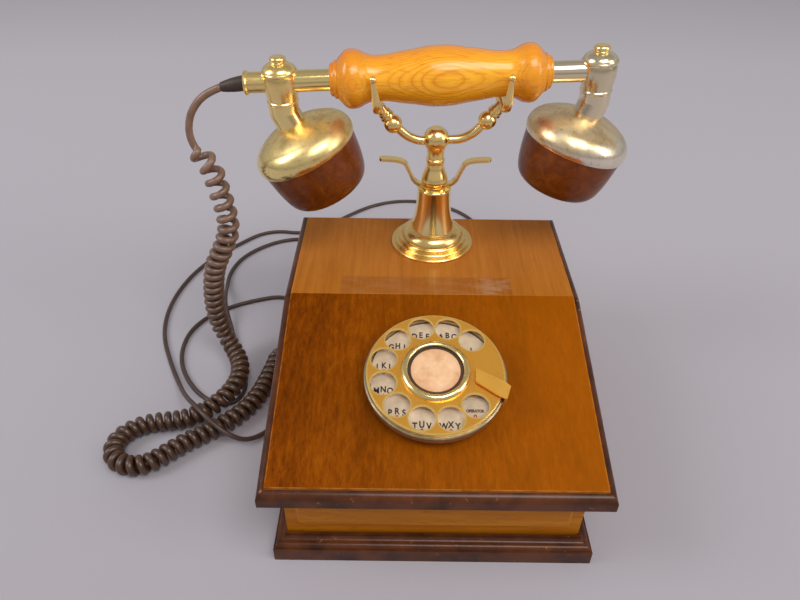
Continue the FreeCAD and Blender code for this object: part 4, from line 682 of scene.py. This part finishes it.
def coil_turns():
    """The put-away turns, clockwise from above: inwards on the table, then outwards on top of them."""
    rest_height = line_radius * 1000
    thickness = 2 * rest_height
    middle = (coil_turns_per_layer - 1) / 2
    radii = [coil_turn_radius + thickness * (middle - turn) for turn in range(coil_turns_per_layer)]
    turns = [(radius, rest_height) for radius in radii]
    turns += [(radius, rest_height + thickness) for radius in reversed(radii)]
    points = []
    for turn, (radius, height) in enumerate(turns):
        next_radius, next_height = turns[min(turn + 1, len(turns) - 1)]
        for step in range(coil_points_per_turn):
            share = step / coil_points_per_turn
            moved = max(0.0, (share - (1 - coil_crossing)) / coil_crossing)
            reach = radius + (next_radius - radius) * moved
            if turn == 0 and step < coil_lead_in_points:
                reach += coil_lead_in_reach * (1 - step / coil_lead_in_points)
            points.append(coil_point(90 - 360 * share, reach, height + (next_height - height) * moved))
    last_radius, last_height = turns[-1]
    for degrees, outwards, upwards in coil_lead_out:
        points.append(coil_point(degrees, last_radius + outwards, last_height + upwards))
    return points[1:]


def line_cord():
    """The line cord from its gland, through the put-away coil, to the plug."""
    points = metres(line_points) + metres(coil_turns()) + metres(plug_lead_points)
    curve = nurbs("line_cord_run", points)
    curve.bevel_depth = line_radius
    curve.bevel_resolution = 3
    curve.use_fill_caps = True
    cord = add_piece("line_cord_run", curve, looks["line_cord"], "base")
    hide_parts("line_cord", "line_cord_coil")


def helix(line, start, end, pitch, radius):
    """A line wound round the stretch of a route between two lengths, with tapering ends.

    Returns the points and, for each, how far along the route it lies. pitch and radius are functions
    of that length.
    """
    lengths = [0.0]
    for a, b in zip(line, line[1:]):
        lengths.append(lengths[-1] + (b - a).length)
    points, at = [], []
    normal = (line[1] - line[0]).orthogonal().normalized()
    length, angle, index = 0.0, 0.0, 0
    while length < lengths[-1]:
        while index < len(line) - 2 and lengths[index + 1] < length:
            index += 1
        share = (length - lengths[index]) / (lengths[index + 1] - lengths[index])
        along = (line[index + 1] - line[index]).normalized()
        normal = square_to(normal, along)
        side = along.cross(normal)
        centre = line[index].lerp(line[index + 1], share)
        step = straight_step
        if start < length < end:
            step = pitch(length) * curl_step_angle / 360
            angle += math.radians(curl_step_angle)
            opening = min(1.0, (length - start) / curl_taper, (end - length) / curl_taper)
            reach = radius(length) * math.sin(opening * math.pi / 2)
            centre = centre + reach * (math.cos(angle) * normal + math.sin(angle) * side)
        points.append(centre)
        at.append(length)
        length += step
    points.append(line[-1])
    at.append(lengths[-1])
    return points, at


def handset_cord():
    """The curly cord in two pieces: one hangs from the handset, and one lies on the table."""
    line = follow(metres(wire_points + hanging_points + floor_points + tail_points))
    lead = length_of(follow(metres(wire_points)))
    tail = length_of(follow(metres(tail_points)))
    split_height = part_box("handset_cord_hanging")[0][2] + 0.001
    hanging_beyond = 0.05
    split = next(i for i, point in enumerate(line) if point.z < split_height and point.y > hanging_beyond)
    split_at = length_of(line[: split + 1])

    def pitch(length):
        share = min(1.0, max(0.0, (length - lead) / curl_pitch_change))
        return curl_pitch_start * (1 - share) + curl_pitch_end * share

    def radius(length):
        outer = curl_radius_hanging if length < split_at else curl_radius_floor
        return outer - wire_radius

    start = lead - curl_start_overlap
    end = length_of(line) - tail - curl_end_gap
    points, at = helix(line, start, end, pitch, radius)
    cut = next(i for i, length in enumerate(at) if length >= split_at)
    hanging, floor = points[: cut + 1], points[cut:]
    upper = add_piece("curly_hanging", tube_mesh("curly_hanging", hanging, wire_radius), looks["curly_cord"])
    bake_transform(upper)
    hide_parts("handset_cord_hanging")
    lower = add_piece("curly_floor", tube_mesh("curly_floor", floor, wire_radius), looks["curly_cord"],
                      "base")
    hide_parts("handset_cord_floor")


# ---- Dial lettering ----------------------------------------------------------------------------------

hole_letters = ["", "ABC", "DEF", "GHI", "JKL", "MNO", "PRS", "TUV", "WXY", ""]
letter_narrowness = 0.8
letter_depth = 0.00003
letter_boldness = 0.00016
letter_lift = 0.00004
letter_size = 0.0053
letter_spacing = 0.0037
letter_drop = 0.0013
letter_arch = 0.0009
word_size, word_drop = 0.0023, 0.0006
digit_size, digit_drop = 0.0042, 0.0053
zero_size, zero_drop = 0.0046, 0.0044
one_size, one_drop = 0.0052, 0.0038


def dial_point(across, up, out):
    """A point of the dial: across, up its slope, and out of the panel."""
    return dial_centre + dial_across * across + dial_up * up + dial_out * out


def dial_text(name, text, across, up, size, finish):
    """Flat lettering on the number plate, upright as the dialler sees it."""
    curve = bpy.data.curves.new(name, "FONT")
    curve.body = text
    curve.size = size
    curve.align_x = "CENTER"
    curve.align_y = "CENTER"
    curve.extrude = letter_depth
    curve.offset = letter_boldness
    maker = bpy.data.objects.new(name, curve)
    bpy.context.scene.collection.objects.link(maker)
    bpy.context.view_layer.update()
    mesh = bpy.data.meshes.new_from_object(maker)
    bpy.data.objects.remove(maker)
    spot = dial_point(across, up, number_plate_top + letter_lift)
    turn = Matrix((dial_across, dial_up, dial_out)).transposed().to_4x4()
    mesh.transform(Matrix.Translation(spot) @ turn @ Matrix.Diagonal((letter_narrowness, 1, 1, 1)))
    add_piece(name, mesh, finish, "base")


def lettering():
    """Black letters on a low arch, with a red digit below. The 1 is black, and the 0 has a small word."""
    black = plain("letter_black", (30, 22, 20), roughness=0.4)
    red = plain("digit_red", (176, 52, 34), roughness=0.4)
    brown = plain("operator_brown", (104, 68, 48), roughness=0.4)
    for hole, letters in enumerate(hole_letters):
        across, up = hole_place(hole)
        digit = str((hole + 1) % hole_count)
        for place, letter in enumerate(letters):
            aside = place - (len(letters) - 1) / 2
            drop = letter_drop + letter_arch * abs(aside)
            dial_text("letter_" + letter, letter, across + letter_spacing * aside, up - drop, letter_size,
                      black)
        if letters:
            dial_text("digit_" + digit, digit, across, up - digit_drop, digit_size, red)
        elif digit == "0":
            dial_text("operator", "OPERATOR", across, up - word_drop, word_size, brown)
            dial_text("digit_0", digit, across, up - zero_drop, zero_size, red)
        else:
            dial_text("digit_" + digit, digit, across, up - one_drop, one_size, black)


# ---- Stage -------------------------------------------------------------------------------------------

floor_half_width = 6.0
sky_strength = 0.5
sky_tint = (0.94, 0.92, 0.92)
sky_greys = ((0.0, 0.72), (0.35, 1.0), (0.60, 0.75), (0.80, 0.66), (1.0, 0.8))
camera_lens = 29.92
camera_place = Vector((-0.01939, -0.31075, 0.34593))
camera_yaw = 0.00142
camera_pitch = 0.66366
camera_roll = 0.01093


def floor_grey():
    """Pale grey, with painted shade that makes it a little deeper towards the front."""
    finish = Finish("floor", Roughness=0.75)
    # Painted shade: the floor's colour darkens towards the front in place of the light falling off.
    back = finish.span(finish.part(finish.place(), "Y"), -0.25, 0.75)
    finish.surface(Base_Color=finish.ramp(back, (0.0, (160, 155, 162)), (1.0, (198, 194, 202))))
    return finish


def make_floor():
    """A pale floor."""
    grid = bmesh.new()
    bmesh.ops.create_grid(grid, x_segments=1, y_segments=1, size=floor_half_width)
    data = bpy.data.meshes.new("floor")
    grid.to_mesh(data)
    grid.free()
    stage = bpy.data.objects.new("floor", data)
    bpy.context.scene.collection.objects.link(stage)
    dress(stage, floor_grey())


def make_sky():
    """Soft light from all round, whose grey changes with the height that it comes from."""
    world = bpy.data.worlds.new("studio")
    bpy.context.scene.world = world
    world.use_nodes = True
    tree = world.node_tree
    background = tree.nodes["Background"]
    background.inputs["Strength"].default_value = sky_strength
    direction = tree.nodes.new("ShaderNodeTexCoord")
    rise = tree.nodes.new("ShaderNodeSeparateXYZ")
    sky = tree.nodes.new("ShaderNodeValToRGB")
    tree.links.new(direction.outputs["Generated"], rise.inputs["Vector"])
    tree.links.new(rise.outputs["Z"], sky.inputs["Fac"])
    tree.links.new(sky.outputs["Color"], background.inputs["Color"])
    fill_ramp(sky, [(position, (*(part * grey for part in sky_tint), 1)) for position, grey in sky_greys])


def softbox(name, place, target, size, energy, shade):
    """A rectangular lamp that faces a target."""
    light = bpy.data.lights.new(name, "AREA")
    light.shape = "RECTANGLE"
    light.size, light.size_y = size
    light.energy = energy
    light.color = shade
    lamp = bpy.data.objects.new(name, light)
    lamp.location = place
    lamp.rotation_euler = (Vector(target) - Vector(place)).to_track_quat("-Z", "Y").to_euler()
    bpy.context.scene.collection.objects.link(lamp)


def make_lamps():
    """A large lamp above, one on the left as a window would be, and a weak one on the right."""
    softbox("overhead", place=(0.35, -0.75, 1.45), target=(0, 0, 0.08), size=(1.0, 0.7),
            energy=14, shade=(1.0, 0.98, 0.96))
    softbox("window", place=(-1.3, -0.2, 1.1), target=(0, 0, 0.1), size=(0.6, 0.9),
            energy=10, shade=(0.97, 0.98, 1.0))
    softbox("fill", place=(1.3, -0.4, 0.8), target=(0, 0, 0.1), size=(0.5, 0.9),
            energy=6, shade=(1.0, 0.97, 0.93))


def make_camera():
    """The camera: in front of the telephone and above it, looking down."""
    camera = bpy.data.cameras.new("camera")
    camera.sensor_width = 36
    camera.lens = camera_lens
    view = bpy.data.objects.new("camera", camera)
    forward = Vector((-math.sin(camera_yaw) * math.cos(camera_pitch),
                      math.cos(camera_yaw) * math.cos(camera_pitch), -math.sin(camera_pitch)))
    right = Vector((math.cos(camera_yaw), math.sin(camera_yaw), 0))
    up = right.cross(forward)
    level = math.cos(camera_roll) * right + math.sin(camera_roll) * up
    upright = -math.sin(camera_roll) * right + math.cos(camera_roll) * up
    stand = Matrix((level, upright, -forward)).transposed().to_4x4()
    stand.translation = camera_place
    view.matrix_world = stand
    bpy.context.scene.collection.objects.link(view)
    bpy.context.scene.camera = view
    bpy.context.scene.view_settings.view_transform = "Standard"


dress_frame()
lettering()
line_cord()
handset_cord()
make_floor()
make_sky()
make_lamps()
make_camera()
